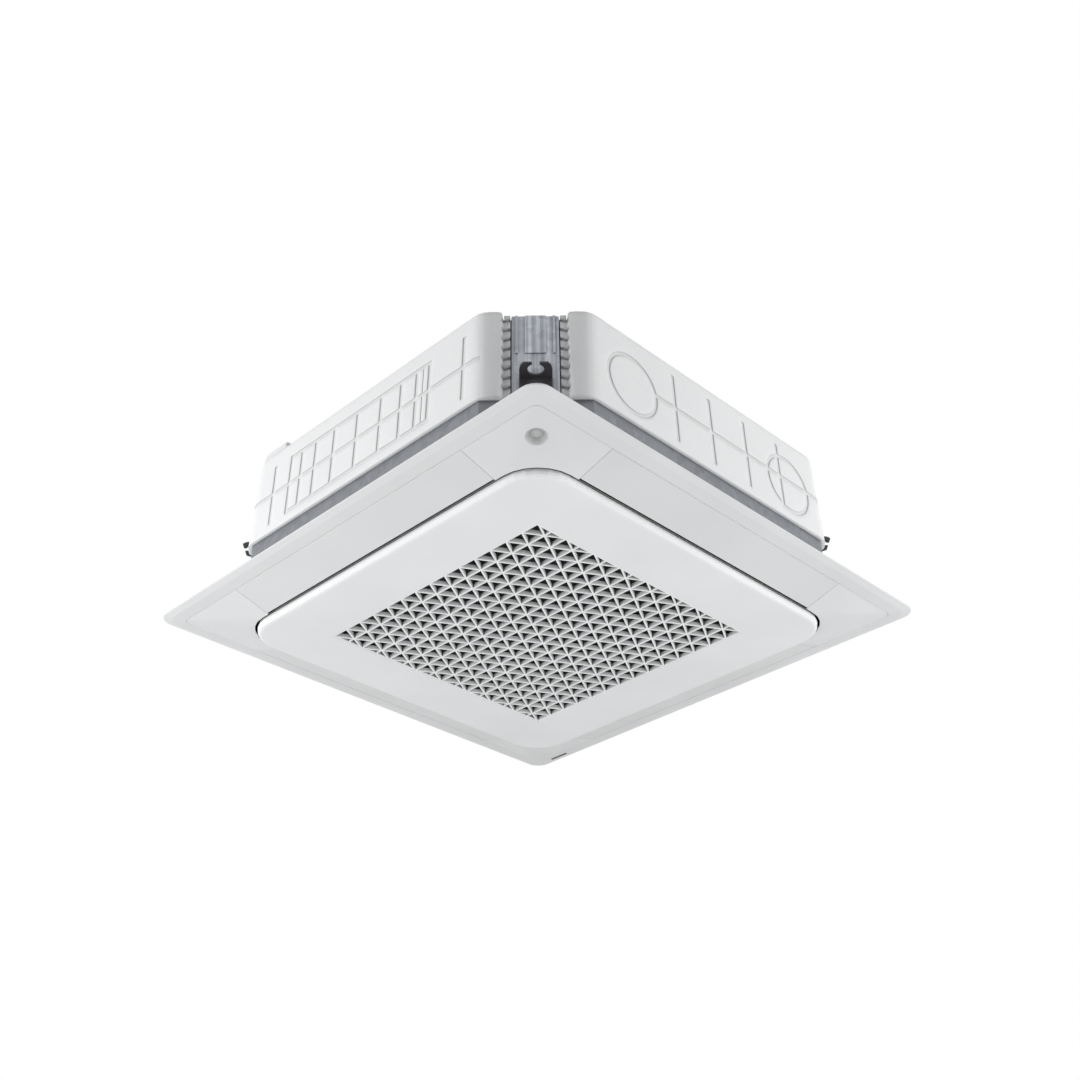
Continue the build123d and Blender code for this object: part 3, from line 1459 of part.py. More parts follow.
with BuildPart() as flare_nuts:
    for radius, level in ((gas_pipe_r, gas_level), (liquid_pipe_r, liquid_level)):
        with BuildSketch(Plane.YZ.offset(-nut_end)):
            with Locations((pipe_y, z_at(level))):
                RegularPolygon(nut_share * radius, 6)
                disc(around(radius), 12, Mode.SUBTRACT)
        extrude(amount=nut_length)
flare_nuts.part.label = "flare_nuts"
export_step(flare_nuts.part, "parts/flare_nuts.step")

with BuildPart() as pipe_plate:
    with BuildSketch(Plane.YZ.offset(-plate_face)):
        with Locations(((plate_y0 + plate_y1) / 2, z_at((plate_level0 + plate_level1) / 2))):
            Rectangle(plate_y1 - plate_y0, plate_level1 - plate_level0)
        for spot, radius in (
            ((pipe_y, z_at(gas_level)), gas_pipe_r),
            ((pipe_y, z_at(liquid_level)), liquid_pipe_r),
            ((drain_y, z_at(drain_level)), drain_r),
        ):
            with Locations(spot):
                disc(radius + 2 * fit_gap, 16, Mode.SUBTRACT)
    extrude(amount=-plate_thick)
pipe_plate.part.label = "pipe_plate"
export_step(pipe_plate.part, "parts/pipe_plate.step")


# ---------------------------------------------------------------- drain pump, hose, outlet, float
hose_x = pump_x - pump_size / 2 + hose_inset
base_top = pan_level + pump_base
with BuildPart() as drain_pump:
    with BuildSketch(up(pan_level + fit_gap)):
        with Locations((pump_x, pump_y)):
            Rectangle(pump_size, pump_size)
    extrude(amount=pump_base - fit_gap)
    with BuildSketch(up(base_top)):
        with Locations((pump_x + pump_shift, pump_y + pump_shift)):
            disc(pump_size / 2 - pump_motor_inset)
    extrude(amount=pump_top_level - base_top)
    with BuildSketch(up(base_top)):
        with Locations((hose_x, drain_y)):
            disc(hose_r - hose_wall)
    extrude(amount=nozzle_top_level - base_top)
    # suction foot in the trough
    with BuildSketch(up(trough_level + suction_gap)):
        with Locations((pump_x + suction_shift[0], pump_y + suction_shift[1])):
            disc(suction_r)
    extrude(amount=pan_level + overlap - trough_level - suction_gap)
drain_pump.part.label = "drain_pump"
export_step(drain_pump.part, "parts/drain_pump.step")

with BuildPart() as drain_hose:
    hose_end_x = -(body_half - shell_wall) + hose_end_inset
    bend_z = z_at(drain_level) - hose_bend
    hose_points = [(hose_x, z_at(pump_top_level))]
    hose_points += arc_points(hose_x - hose_bend, bend_z, hose_bend, 0, 90, 4)
    hose_points += [(hose_end_x, z_at(drain_level))]
    with BuildLine(Plane.XZ.offset(-drain_y)) as hose_path:
        Polyline(*hose_points)
    with BuildSketch(Plane((hose_x, drain_y, z_at(pump_top_level)), z_dir=(0, 0, 1))):
        disc(hose_r)
        disc(hose_r - hose_wall + hose_fit, mode=Mode.SUBTRACT)
    sweep(path=hose_path.line, transition=Transition.RIGHT)
drain_hose.part.label = "drain_hose"
export_step(drain_hose.part, "parts/drain_hose.step")

with BuildPart() as drain_outlet:
    with BuildSketch(Plane.YZ.offset(-pipe_end)):
        with Locations((drain_y, z_at(drain_level))):
            Circle(drain_r)
            disc(drain_bore_r, 16, Mode.SUBTRACT)
    extrude(amount=pipe_end + hose_end_x - fit_gap)
    # collar that stops the drain pipe's socket
    with BuildSketch(Plane.YZ.offset(-drain_stop)):
        with Locations((drain_y, z_at(drain_level))):
            disc(drain_r + 2 * bead, ring_steps)
            disc(drain_r - bead, ring_steps, Mode.SUBTRACT)
    extrude(amount=drain_collar)
drain_outlet.part.label = "drain_outlet"
export_step(drain_outlet.part, "parts/drain_outlet.step")

float_rest = trough_level + float_gap
strap_level = pan_level + fit_gap
strap_over = trough_side + strap_hold
with BuildPart() as float_switch:
    # strap across the trough, and the stem that hangs from it
    block(
        float_x - strap_half, float_x + strap_half, coil_in - strap_over, coil_half + strap_over,
        strap_level, strap_level + strap_thick,
    )
    with BuildSketch(up(float_rest - stem_spare)):
        with Locations((float_x, float_y)):
            Circle(pin_r)
    extrude(amount=pan_level + overlap - float_rest)
float_switch.part.label = "float_switch"
export_step(float_switch.part, "parts/float_switch.step")

with BuildPart() as drain_float:
    with BuildSketch(up(float_rest)):
        with Locations((float_x, float_y)):
            disc(float_r, 16)
            Circle(pin_r + run_gap, mode=Mode.SUBTRACT)
    extrude(amount=float_height)
drain_float.part.label = "drain_float"
export_step(drain_float.part, "parts/drain_float.step")


# ---------------------------------------------------------------- fan and motor
plate_top = fan_level + fan_wall
dome_level = motor_level - dome_drop
blade_top = fan_level + overlap
shroud_centre = (shroud_r + shroud_round, shroud_level + shroud_lip)
shroud_arc = arc_points(*shroud_centre, shroud_round, 180, -90, bend_steps)
shroud_back = arc_points(*shroud_centre, shroud_round - fan_wall, 180, -90, bend_steps)
shroud_middle = arc_points(*shroud_centre, shroud_round - fan_wall / 2, 180, -90, bend_steps)
with BuildPart() as blade_zone:
    # the space between shroud and back plate that the blades fill
    tip_r = fan_r - blade_tip_gap
    zone = shroud_middle + [(tip_r, shroud_top - fan_wall / 2), (tip_r, blade_top)]
    round_stack(zone, ring_steps)
    core = [shroud_middle[0], (blade_in, shroud_top + blade_core_rise), (blade_in, blade_top)]
    round_stack(core, ring_steps, Mode.SUBTRACT)
with BuildPart() as fan_blades:
    # backward-curved blades, each an arc in four steps
    with BuildSketch(up(shroud_level)):
        for blade in range(blade_count):
            outline = arc_points(*blade_centre, blade_bend + blade_thick / 2, *blade_arc, 4)
            outline += arc_points(*blade_centre, blade_bend - blade_thick / 2, *blade_arc, 4)[::-1]
            with Locations(Location((0, 0, 0), (0, 0, 360 / blade_count * blade))):
                Polygon(*outline, align=None)
    extrude(amount=blade_top - shroud_level)
    add(blade_zone.part, mode=Mode.INTERSECT)
with BuildPart() as turbo_fan:
    # shroud ring round the inlet, flaring out in short straight steps
    shroud_edge = (fan_r, shroud_top - fan_wall)
    round_stack([(shroud_r + fan_wall, shroud_level), *shroud_back, shroud_edge], ring_steps)
    round_stack([shroud_edge, (fan_r, shroud_top)], ring_steps)
    round_stack([(shroud_r, shroud_level), *shroud_arc, (fan_r, shroud_top)], ring_steps, Mode.SUBTRACT)
    # back plate with the dome that clears the motor, and the hub
    round_stack([(fan_r, fan_level), (fan_r, plate_top)], ring_steps)
    dome_levels = (dome_level - fan_wall, dome_level + dome_rise, fan_level)
    round_stack(list(zip(dome_radii, dome_levels)), ring_steps)
    hollow_levels = (dome_level, dome_level + hollow_rise, plate_top)
    round_stack(list(zip(hollow_radii, hollow_levels)), ring_steps, Mode.SUBTRACT)
    with BuildSketch(up(dome_level - hub_drop)):
        disc(hub_r)
    extrude(amount=hub_drop)
    with BuildSketch(up(dome_level - hub_drop)):
        Circle(shaft_r)
    extrude(amount=hub_drop, mode=Mode.SUBTRACT)
    add(fan_blades.part)
turbo_fan.part.label = "turbo_fan"
export_step(turbo_fan.part, "parts/turbo_fan.step")

with BuildPart() as motor_shaft:
    with BuildSketch(up(dome_level - shaft_drop)):
        Circle(shaft_r)
    extrude(amount=motor_level + shaft_hold - dome_level + shaft_drop)
motor_shaft.part.label = "motor_shaft"
export_step(motor_shaft.part, "parts/motor_shaft.step")

with BuildPart() as fan_nut:
    with BuildSketch(up(dome_level - hub_drop - fan_nut_tall)):
        RegularPolygon(2 * shaft_r, 6)
        disc(around(shaft_r), 12, Mode.SUBTRACT)
    extrude(amount=fan_nut_tall)
fan_nut.part.label = "fan_nut"
export_step(fan_nut.part, "parts/fan_nut.step")

flange_top = motor_flange_level + motor_flange
with BuildPart() as fan_motor:
    can = [(motor_r - can_bevel, motor_level), (motor_r, motor_level + can_bevel)]
    can += [(motor_r, motor_flange_level)]
    round_stack(can, ring_steps)
    round_stack([(motor_flange_r, motor_flange_level), (motor_flange_r, flange_top)], ring_steps)
    with BuildSketch(up(motor_level)):
        Circle(shaft_r + run_gap)
    extrude(amount=motor_bore, mode=Mode.SUBTRACT)
    with BuildSketch(up(motor_flange_level)):
        with PolarLocations(mount_ring_r, 4, start_angle=45):
            disc(stud_r + fit_gap, 8)
    extrude(amount=motor_flange, mode=Mode.SUBTRACT)
fan_motor.part.label = "fan_motor"
export_step(fan_motor.part, "parts/fan_motor.step")

with BuildPart() as motor_mounts:
    with BuildSketch(up(flange_top)):
        with PolarLocations(mount_ring_r, 4, start_angle=45):
            disc(mount_r)
            disc(stud_r + fit_gap, 8, Mode.SUBTRACT)
    extrude(amount=foam_top - flange_top)
motor_mounts.part.label = "motor_mounts"
export_step(motor_mounts.part, "parts/motor_mounts.step")

with BuildPart() as motor_studs:
    with BuildSketch(up(motor_flange_level - fit_gap)):
        with PolarLocations(mount_ring_r, 4, start_angle=45):
            RegularPolygon(2 * stud_r, 6)
    extrude(amount=-stud_head)
    with BuildSketch(up(motor_flange_level - overlap)):
        with PolarLocations(mount_ring_r, 4, start_angle=45):
            disc(stud_r, 8)
    extrude(amount=top_level + stud_spare - motor_flange_level)
    with BuildSketch(up(top_level + fit_gap)):
        with PolarLocations(mount_ring_r, 4, start_angle=45):
            RegularPolygon(2 * stud_r, 6)
    extrude(amount=stud_nut)
motor_studs.part.label = "motor_studs"
export_step(motor_studs.part, "parts/motor_studs.step")


# ---------------------------------------------------------------- control box
with BuildPart() as control_box:
    block(-box_half, box_half, box_y0, box_y1, box_level, box_top_level)
    block(
        -box_half + box_wall, box_half - box_wall, box_y0 + box_wall, box_y1 - box_wall,
        box_level, box_top_level - box_wall, mode=Mode.SUBTRACT,
    )
    # standoffs for the circuit board
    with BuildSketch(up(box_top_level - box_wall / 2)):
        with Locations((board_x, (box_y0 + box_y1) / 2)):
            with GridLocations(standoff_span, standoff_depth, 2, 2):
                Rectangle(standoff_size, standoff_size)
    extrude(amount=-standoff_drop)
control_box.part.label = "control_box"
export_step(control_box.part, "parts/control_box.step")

board_top = box_top_level - box_wall / 2 - standoff_drop - fit_gap
board_foot = board_top - board_thick
with BuildPart() as circuit_board:
    block(
        board_x - board_half, board_x + board_half, box_y0 + board_margin, box_y1 - board_margin,
        board_foot, board_top,
    )
    # tall components hang from the board
    for x, y, width, depth, height in board_parts:
        block(
            x - width / 2, x + width / 2, y - depth / 2, y + depth / 2,
            board_foot - height, board_foot,
        )
circuit_board.part.label = "circuit_board"
export_step(circuit_board.part, "parts/circuit_board.step")

with BuildPart() as terminal_block:
    terminal_top = box_top_level - box_wall - fit_gap
    terminal_foot = terminal_top - terminal_drop
    block(
        terminal_x0, terminal_x1, box_y0 + terminal_margin, box_y1 - terminal_margin,
        terminal_foot, terminal_top,
    )
    for pole in range(pole_count):
        pole_x = pole_start + pole * pole_pitch
        block(
            pole_x, pole_x + pole_width, box_y0 + pole_margin, box_y1 - pole_margin,
            terminal_foot, terminal_foot + pole_depth, mode=Mode.SUBTRACT,
        )
terminal_block.part.label = "terminal_block"
export_step(terminal_block.part, "parts/terminal_block.step")

with BuildPart() as control_cover:
    block(-box_half, box_half, box_y0, box_y1, box_level - fit_gap - sheet, box_level - fit_gap)
control_cover.part.label = "control_cover"
export_step(control_cover.part, "parts/control_cover.step")
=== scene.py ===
from math import cos, pi, radians, sin

import bpy
from mathutils import Matrix, Vector

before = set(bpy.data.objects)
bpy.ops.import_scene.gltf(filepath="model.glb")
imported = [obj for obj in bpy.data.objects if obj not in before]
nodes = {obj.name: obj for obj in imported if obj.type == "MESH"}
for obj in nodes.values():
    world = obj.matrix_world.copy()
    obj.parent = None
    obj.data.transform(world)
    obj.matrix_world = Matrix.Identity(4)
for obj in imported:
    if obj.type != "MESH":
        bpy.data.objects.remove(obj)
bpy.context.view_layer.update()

# A ceiling cassette air conditioner, hung in the air and seen from below, in metres, +Z up.
CEILING_Z = -0.140

# colours as linear red, green and blue
WHITE = (0.782, 0.790, 0.797)
SHELL_WHITE = (0.805, 0.815, 0.820)
PALE_GREY = (0.66, 0.655, 0.62)
ZINC = (0.215, 0.225, 0.245)
SCREW_ZINC = (0.55, 0.54, 0.50)
STEEL = (0.60, 0.60, 0.60)
ALUMINIUM = (0.62, 0.64, 0.66)
COPPER = (0.55, 0.27, 0.17)
BRASS = (0.55, 0.40, 0.19)
BOARD_GREEN = (0.01, 0.09, 0.03)
BRACKET_BLACK = (0.045, 0.045, 0.050)
ROOF_BLACK = (0.035, 0.035, 0.037)
FAN_BLACK = (0.03, 0.03, 0.033)
PART_BLACK = (0.03, 0.03, 0.032)
LENS_BLACK = (0.030, 0.028, 0.032)
COAT_BLACK = (0.02, 0.02, 0.022)
SEAL_BLACK = (0.018, 0.018, 0.02)
NET_BLACK = (0.016, 0.016, 0.018)
FILTER_BLACK = (0.012, 0.012, 0.013)
RUBBER_BLACK = (0.012, 0.012, 0.012)
FLOOR_GREY = (0.80, 0.80, 0.80)

# most values of a noise texture lie between these
NOISE_LOW = 0.3
NOISE_HIGH = 0.7
# a diagonal wave texture of scale 1 repeats after this length
WAVE_LENGTH = 2 * pi / 10

# the panel's air ducts: square distances from the middle, and the height they reach
DUCT_IN = 0.3622
DUCT_OUT = 0.4280
DUCT_TOP = CEILING_Z + 0.004


# ---------------------------------------------------------------- shader nodes
def opaque(colour):
    """Colour with full alpha."""
    return (*colour, 1)


def shade(colour, factor):
    """Colour made darker or lighter."""
    return tuple(min(1.0, channel * factor) for channel in colour)


def tree_of(name):
    """New material with only a Principled shader and an output."""
    material = bpy.data.materials.new(name)
    material.use_nodes = True
    tree = material.node_tree
    tree.nodes.clear()
    shader = tree.nodes.new("ShaderNodeBsdfPrincipled")
    output = tree.nodes.new("ShaderNodeOutputMaterial")
    tree.links.new(shader.outputs["BSDF"], output.inputs["Surface"])
    return material, tree, shader


def feed(tree, socket, value):
    """Links a socket to another one, or sets it to a constant."""
    if isinstance(value, bpy.types.NodeSocket):
        tree.links.new(value, socket)
    else:
        socket.default_value = value


def calculated(tree, operation, *values):
    """Result of a math operation on sockets or constants."""
    node = tree.nodes.new("ShaderNodeMath")
    node.operation = operation
    for socket, value in zip(node.inputs, values):
        feed(tree, socket, value)
    return node.outputs["Value"]


def mixed(tree, share, first, second, blend="MIX"):
    """Colour between two others, each a socket or a constant."""
    node = tree.nodes.new("ShaderNodeMix")
    node.data_type = "RGBA"
    node.blend_type = blend
    feed(tree, node.inputs["Factor"], share)
    feed(tree, node.inputs["A"], first)
    feed(tree, node.inputs["B"], second)
    return node.outputs["Result"]


def multiplied(tree, colour, share):
    """Colour times a value."""
    return mixed(tree, 1.0, colour, share, blend="MULTIPLY")


def coordinates(tree, stretch=(1, 1, 1)):
    """Object coordinates in metres, stretched along the axes."""
    source = tree.nodes.new("ShaderNodeTexCoord")
    mapping = tree.nodes.new("ShaderNodeMapping")
    mapping.inputs["Scale"].default_value = stretch
    tree.links.new(source.outputs["Object"], mapping.inputs["Vector"])
    return mapping.outputs["Vector"]


def noise(tree, vector, scale, detail=3, roughness=0.55):
    """Noise value at a scale in cells per metre."""
    node = tree.nodes.new("ShaderNodeTexNoise")
    node.inputs["Scale"].default_value = scale
    node.inputs["Detail"].default_value = detail
    node.inputs["Roughness"].default_value = roughness
    tree.links.new(vector, node.inputs["Vector"])
    return node.outputs["Fac"]


def waves(tree, stretch, pitch):
    """Wave value that repeats after a pitch in metres, along the axes that the stretch keeps."""
    node = tree.nodes.new("ShaderNodeTexWave")
    node.bands_direction = "DIAGONAL"
    node.inputs["Scale"].default_value = WAVE_LENGTH / pitch
    tree.links.new(coordinates(tree, stretch), node.inputs["Vector"])
    return node.outputs["Fac"]


def spread(tree, value, low, high, start=NOISE_LOW, stop=NOISE_HIGH):
    """Value remapped to a range."""
    node = tree.nodes.new("ShaderNodeMapRange")
    node.inputs["From Min"].default_value = start
    node.inputs["From Max"].default_value = stop
    node.inputs["To Min"].default_value = low
    node.inputs["To Max"].default_value = high
    tree.links.new(value, node.inputs["Value"])
    return node.outputs["Result"]


def tints(tree, value, colours):
    """Colour ramp through (position, colour) stops."""
    ramp = tree.nodes.new("ShaderNodeValToRGB")
    stops = ramp.color_ramp.elements
    while len(stops) < len(colours):
        stops.new(0.5)
    for stop, (position, colour) in zip(stops, colours):
        stop.position = position
        stop.color = opaque(colour)
    tree.links.new(value, ramp.inputs["Fac"])
    return ramp.outputs["Color"]


def two_tones(tree, value, colour, darker, lighter, start=NOISE_LOW, stop=NOISE_HIGH):
    """Colour times one factor to another as a value rises."""
    return tints(tree, value, [(start, shade(colour, darker)), (stop, shade(colour, lighter))])


def uneven_gloss(tree, shader, value, roughness, smoother, rougher, start=NOISE_LOW, stop=NOISE_HIGH):
    """Roughness that varies round its mean as a value rises."""
    varied = spread(tree, value, roughness - smoother, roughness + rougher, start, stop)
    tree.links.new(varied, shader.inputs["Roughness"])


def rounded_normal(tree, radius, samples):
    """Normal of the surface with its edges rounded to a radius."""
    node = tree.nodes.new("ShaderNodeBevel")
    node.samples = samples
    node.inputs["Radius"].default_value = radius
    return node.outputs["Normal"]


def bumps(tree, shader, height, strength, depth, soft_edge=0.0):
    """Bump from a height value, over edges rounded to a radius where one is given."""
    node = tree.nodes.new("ShaderNodeBump")
    if soft_edge:
        tree.links.new(rounded_normal(tree, soft_edge, samples=8), node.inputs["Normal"])
    node.inputs["Strength"].default_value = strength
    node.inputs["Distance"].default_value = depth
    tree.links.new(height, node.inputs["Height"])
    tree.links.new(node.outputs["Normal"], shader.inputs["Normal"])


def edge_wear(tree, colour, worn, amount):
    """Colour shifted towards a worn tone at edges, where a rounded normal leaves the face's own."""
    edge_width = 0.0012
    worn_agreement = 0.80
    flat_agreement = 0.98
    geometry = tree.nodes.new("ShaderNodeNewGeometry")
    agreement = tree.nodes.new("ShaderNodeVectorMath")
    agreement.operation = "DOT_PRODUCT"
    tree.links.new(geometry.outputs["Normal"], agreement.inputs[0])
    tree.links.new(rounded_normal(tree, edge_width, samples=4), agreement.inputs[1])
    share = spread(tree, agreement.outputs["Value"], amount, 0.0, worn_agreement, flat_agreement)
    return mixed(tree, share, colour, opaque(worn))


def painted_crevice_shade(tree, colour, depth, amount, start=0.35, stop=0.95, local=True):
    """Painted shade: colour darkened in narrow grooves and inner corners, up to a distance in metres."""
    contact = tree.nodes.new("ShaderNodeAmbientOcclusion")
    contact.samples = 16
    contact.only_local = local
    contact.inputs["Distance"].default_value = depth
    openness = spread(tree, contact.outputs["AO"], 1 - amount, 1.0, start, stop)
    return multiplied(tree, colour, openness)


# ---------------------------------------------------------------- kinds of material
def moulded(name, colour, roughness, grain_depth=0.00004, painted_hollow_shade=None):
    """Moulded plastic: faint drift of tone, fine grain, uneven gloss, painted shade in hollows if asked."""
    material, tree, shader = tree_of(name)
    where = coordinates(tree)
    drift = noise(tree, where, scale=6, detail=2)
    tone = two_tones(tree, drift, colour, darker=0.975, lighter=1.025)
    tone = edge_wear(tree, tone, shade(colour, 1.05), amount=0.5)
    # painted shade in the hollows, where asked
    if painted_hollow_shade:
        tone = painted_crevice_shade(tree, tone, **painted_hollow_shade)
    tree.links.new(tone, shader.inputs["Base Color"])
    gloss = noise(tree, where, scale=40)
    uneven_gloss(tree, shader, gloss, roughness, smoother=0.05, rougher=0.05)
    grain = noise(tree, where, scale=2600, detail=4, roughness=0.6)
    bumps(tree, shader, grain, strength=0.25, depth=grain_depth)
    shader.inputs["IOR"].default_value = 1.46
    return material


def lined(material, lining, inner, outer, top):
    """Gives a plastic a dark lining between two distances from the middle, below a height."""
    tree = material.node_tree
    shader = next(node for node in tree.nodes if node.type == "BSDF_PRINCIPLED")
    tone = shader.inputs["Base Color"].links[0].from_socket
    where = tree.nodes.new("ShaderNodeSeparateXYZ")
    tree.links.new(coordinates(tree), where.inputs["Vector"])
    halves = [calculated(tree, "ABSOLUTE", where.outputs[axis]) for axis in ("X", "Y")]
    distance = calculated(tree, "MAXIMUM", *halves)
    outside = calculated(tree, "GREATER_THAN", distance, inner)
    inside = calculated(tree, "LESS_THAN", distance, outer)
    under = calculated(tree, "LESS_THAN", where.outputs["Z"], top)
    ring = calculated(tree, "MULTIPLY", outside, inside)
    share = calculated(tree, "MULTIPLY", ring, under)
    tree.links.new(mixed(tree, share, tone, opaque(lining)), shader.inputs["Base Color"])


def beaded(name, colour, roughness):
    """Dense moulded foam: the fused beads show as a faint cell pattern; painted shade in its grooves and
    inner corners.
    """
    material, tree, shader = tree_of(name)
    where = coordinates(tree)
    drift = noise(tree, where, scale=5)
    tone = two_tones(tree, drift, colour, darker=0.965, lighter=1.01)
    cells = tree.nodes.new("ShaderNodeTexVoronoi")
    cells.feature = "DISTANCE_TO_EDGE"
    cells.inputs["Scale"].default_value = 280
    tree.links.new(where, cells.inputs["Vector"])
    bead = spread(tree, cells.outputs["Distance"], 0.0, 1.0, start=0.0, stop=0.12)
    tone = mixed(tree, bead, opaque(shade(colour, 0.93)), tone)
    # painted shade in the grooves and inner corners
    tone = painted_crevice_shade(tree, tone, depth=0.020, amount=0.20, start=0.88, stop=0.99)
    tree.links.new(tone, shader.inputs["Base Color"])
    uneven_gloss(tree, shader, drift, roughness, smoother=0.04, rougher=0.06)
    bumps(tree, shader, bead, strength=0.12, depth=0.0002, soft_edge=0.010)
    shader.inputs["Subsurface Weight"].default_value = 0.8
    shader.inputs["Subsurface Radius"].default_value = (1, 1, 1)
    shader.inputs["Subsurface Scale"].default_value = 0.006
    return material


def galvanised(name, colour, roughness, streaks=0.0):
    """Zinc-coated sheet: spangle in flat crystals, rolling lines, bright edges, painted shade in hollows and
    under other parts, upright streaks if asked.
    """
    material, tree, shader = tree_of(name)
    crystals = tree.nodes.new("ShaderNodeTexVoronoi")
    crystals.inputs["Scale"].default_value = 90
    tree.links.new(coordinates(tree), crystals.inputs["Vector"])
    spangle = tree.nodes.new("ShaderNodeSeparateColor")
    tree.links.new(crystals.outputs["Color"], spangle.inputs["Color"])
    greys = [(0.0, shade(colour, 0.88)), (0.5, colour), (1.0, shade(colour, 1.10))]
    tone = tints(tree, spangle.outputs["Red"], greys)
    if streaks:
        drawn = noise(tree, coordinates(tree, (1, 1, 0.001)), scale=130, detail=2)
        tone = multiplied(tree, tone, spread(tree, drawn, 1 - streaks, 1 + streaks, start=0.35, stop=0.65))
    tone = edge_wear(tree, tone, shade(colour, 1.35), amount=0.6)
    # painted shade in hollows and under other parts, such as on the band under the shells' edge
    tone = painted_crevice_shade(tree, tone, depth=0.03, amount=0.5, local=False)
    tree.links.new(tone, shader.inputs["Base Color"])
    uneven_gloss(tree, shader, spangle.outputs["Green"], roughness, 0.08, 0.1, start=0, stop=1)
    rolling = noise(tree, coordinates(tree, (1, 1, 40)), scale=60, detail=2)
    bumps(tree, shader, rolling, strength=0.08, depth=0.0001)
    shader.inputs["Metallic"].default_value = 0.35
    return material


def bright_metal(name, colour, roughness):
    """Drawn or turned metal with fine lines along one axis."""
    material, tree, shader = tree_of(name)
    stain = noise(tree, coordinates(tree), scale=45)
    tone = two_tones(tree, stain, colour, darker=0.90, lighter=1.10)
    tone = edge_wear(tree, tone, shade(colour, 1.3), amount=0.6)
    tree.links.new(tone, shader.inputs["Base Color"])
    lines = noise(tree, coordinates(tree, (1, 1, 30)), scale=300, detail=4, roughness=0.7)
    uneven_gloss(tree, shader, lines, roughness, smoother=0.07, rougher=0.12)
    bumps(tree, shader, lines, strength=0.1, depth=0.00006)
    shader.inputs["Metallic"].default_value = 1.0
    return material


def coated(name, colour, roughness):
    """Baked paint: slight orange peel, scuffs that thin the coat along edges."""
    material, tree, shader = tree_of(name)
    where = coordinates(tree)
    drift = noise(tree, where, scale=30, detail=4)
    tone = two_tones(tree, drift, colour, darker=0.9, lighter=1.12)
    tone = edge_wear(tree, tone, shade(colour, 2.2), amount=0.55)
    tree.links.new(tone, shader.inputs["Base Color"])
    uneven_gloss(tree, shader, drift, roughness, smoother=0.06, rougher=0.08)
    peel = noise(tree, where, scale=700, detail=2)
    bumps(tree, shader, peel, strength=0.15, depth=0.00008)
    return material


def foam(name, colour):
    """Open foam or rubber with pores."""
    material, tree, shader = tree_of(name)
    pores = noise(tree, coordinates(tree), scale=900, detail=5, roughness=0.75)
    tone = two_tones(tree, pores, colour, darker=0.6, lighter=1.2, start=0.35, stop=0.65)
    tree.links.new(tone, shader.inputs["Base Color"])
    uneven_gloss(tree, shader, pores, roughness=0.75, smoother=0.0, rougher=0.2)
    bumps(tree, shader, pores, strength=0.5, depth=0.0004)
    return material


def woven(name, colour):
    """Net: threads both ways in the sheet's plane, dark between them."""
    material, tree, shader = tree_of(name)
    pitch = 0.00513
    ways = ((1, 0.0001, 0.0001), (0.0001, 1, 0.0001))
    thread = calculated(tree, "MAXIMUM", *[waves(tree, way, pitch) for way in ways])
    tone = two_tones(tree, thread, colour, darker=0.35, lighter=1.0, start=0.45, stop=0.8)
    tree.links.new(tone, shader.inputs["Base Color"])
    shader.inputs["Roughness"].default_value = 0.8
    bumps(tree, shader, thread, strength=0.4, depth=0.0004)
    return material


def finned(name, colour):
    """Stack of fins: upright bands of light and shade, wider than the single fins."""
    material, tree, shader = tree_of(name)
    bands = waves(tree, (1, 1, 0.0001), pitch=0.0201)
    tone = two_tones(tree, bands, colour, darker=0.35, lighter=1.0)
    tree.links.new(tone, shader.inputs["Base Color"])
    shader.inputs["Metallic"].default_value = 0.9
    shader.inputs["Roughness"].default_value = 0.38
    bumps(tree, shader, bands, strength=0.6, depth=0.0006)
    return material


def paper(name, colour):
    """Plain matt paper."""
    material, tree, shader = tree_of(name)
    shader.inputs["Base Color"].default_value = opaque(colour)
    shader.inputs["Roughness"].default_value = 0.9
    return material


# ---------------------------------------------------------------- finishes of the nodes
# painted shade in hollows: in the corner covers' dimple and corners, and deep in the grille lattice's cells,
# darker with depth
COVER_PAINTED_SHADE = {"depth": 0.03, "amount": 0.55, "start": 0.78, "stop": 0.98}
LATTICE_PAINTED_SHADE = {"depth": 0.03, "amount": 0.92, "start": 0.05, "stop": 0.55, "local": False}

# the white plastics are lighter and darker copies of one white, set to how brightly each part shows: painted
# light on the intake and the lattice, painted shade on the frame, the covers and the louvers
panel_skin = moulded("panel_plastic", shade(WHITE, 0.92), roughness=0.42)
lined(panel_skin, COAT_BLACK, DUCT_IN, DUCT_OUT, DUCT_TOP)
cover_skin = moulded("cover_plastic", shade(WHITE, 0.91), roughness=0.42, painted_hollow_shade=COVER_PAINTED_SHADE)
louver_skin = moulded("louver_plastic", shade(WHITE, 0.87), roughness=0.44)
intake_skin = moulded("intake_plastic", shade(WHITE, 1.03), roughness=0.62, grain_depth=0.00002)
lattice_skin = moulded("lattice_plastic", shade(WHITE, 1.12), roughness=0.45, painted_hollow_shade=LATTICE_PAINTED_SHADE)
shell_skin = beaded("shell_foam", SHELL_WHITE, roughness=0.62)
pan_skin = beaded("pan_foam", shade(SHELL_WHITE, 0.98), roughness=0.7)
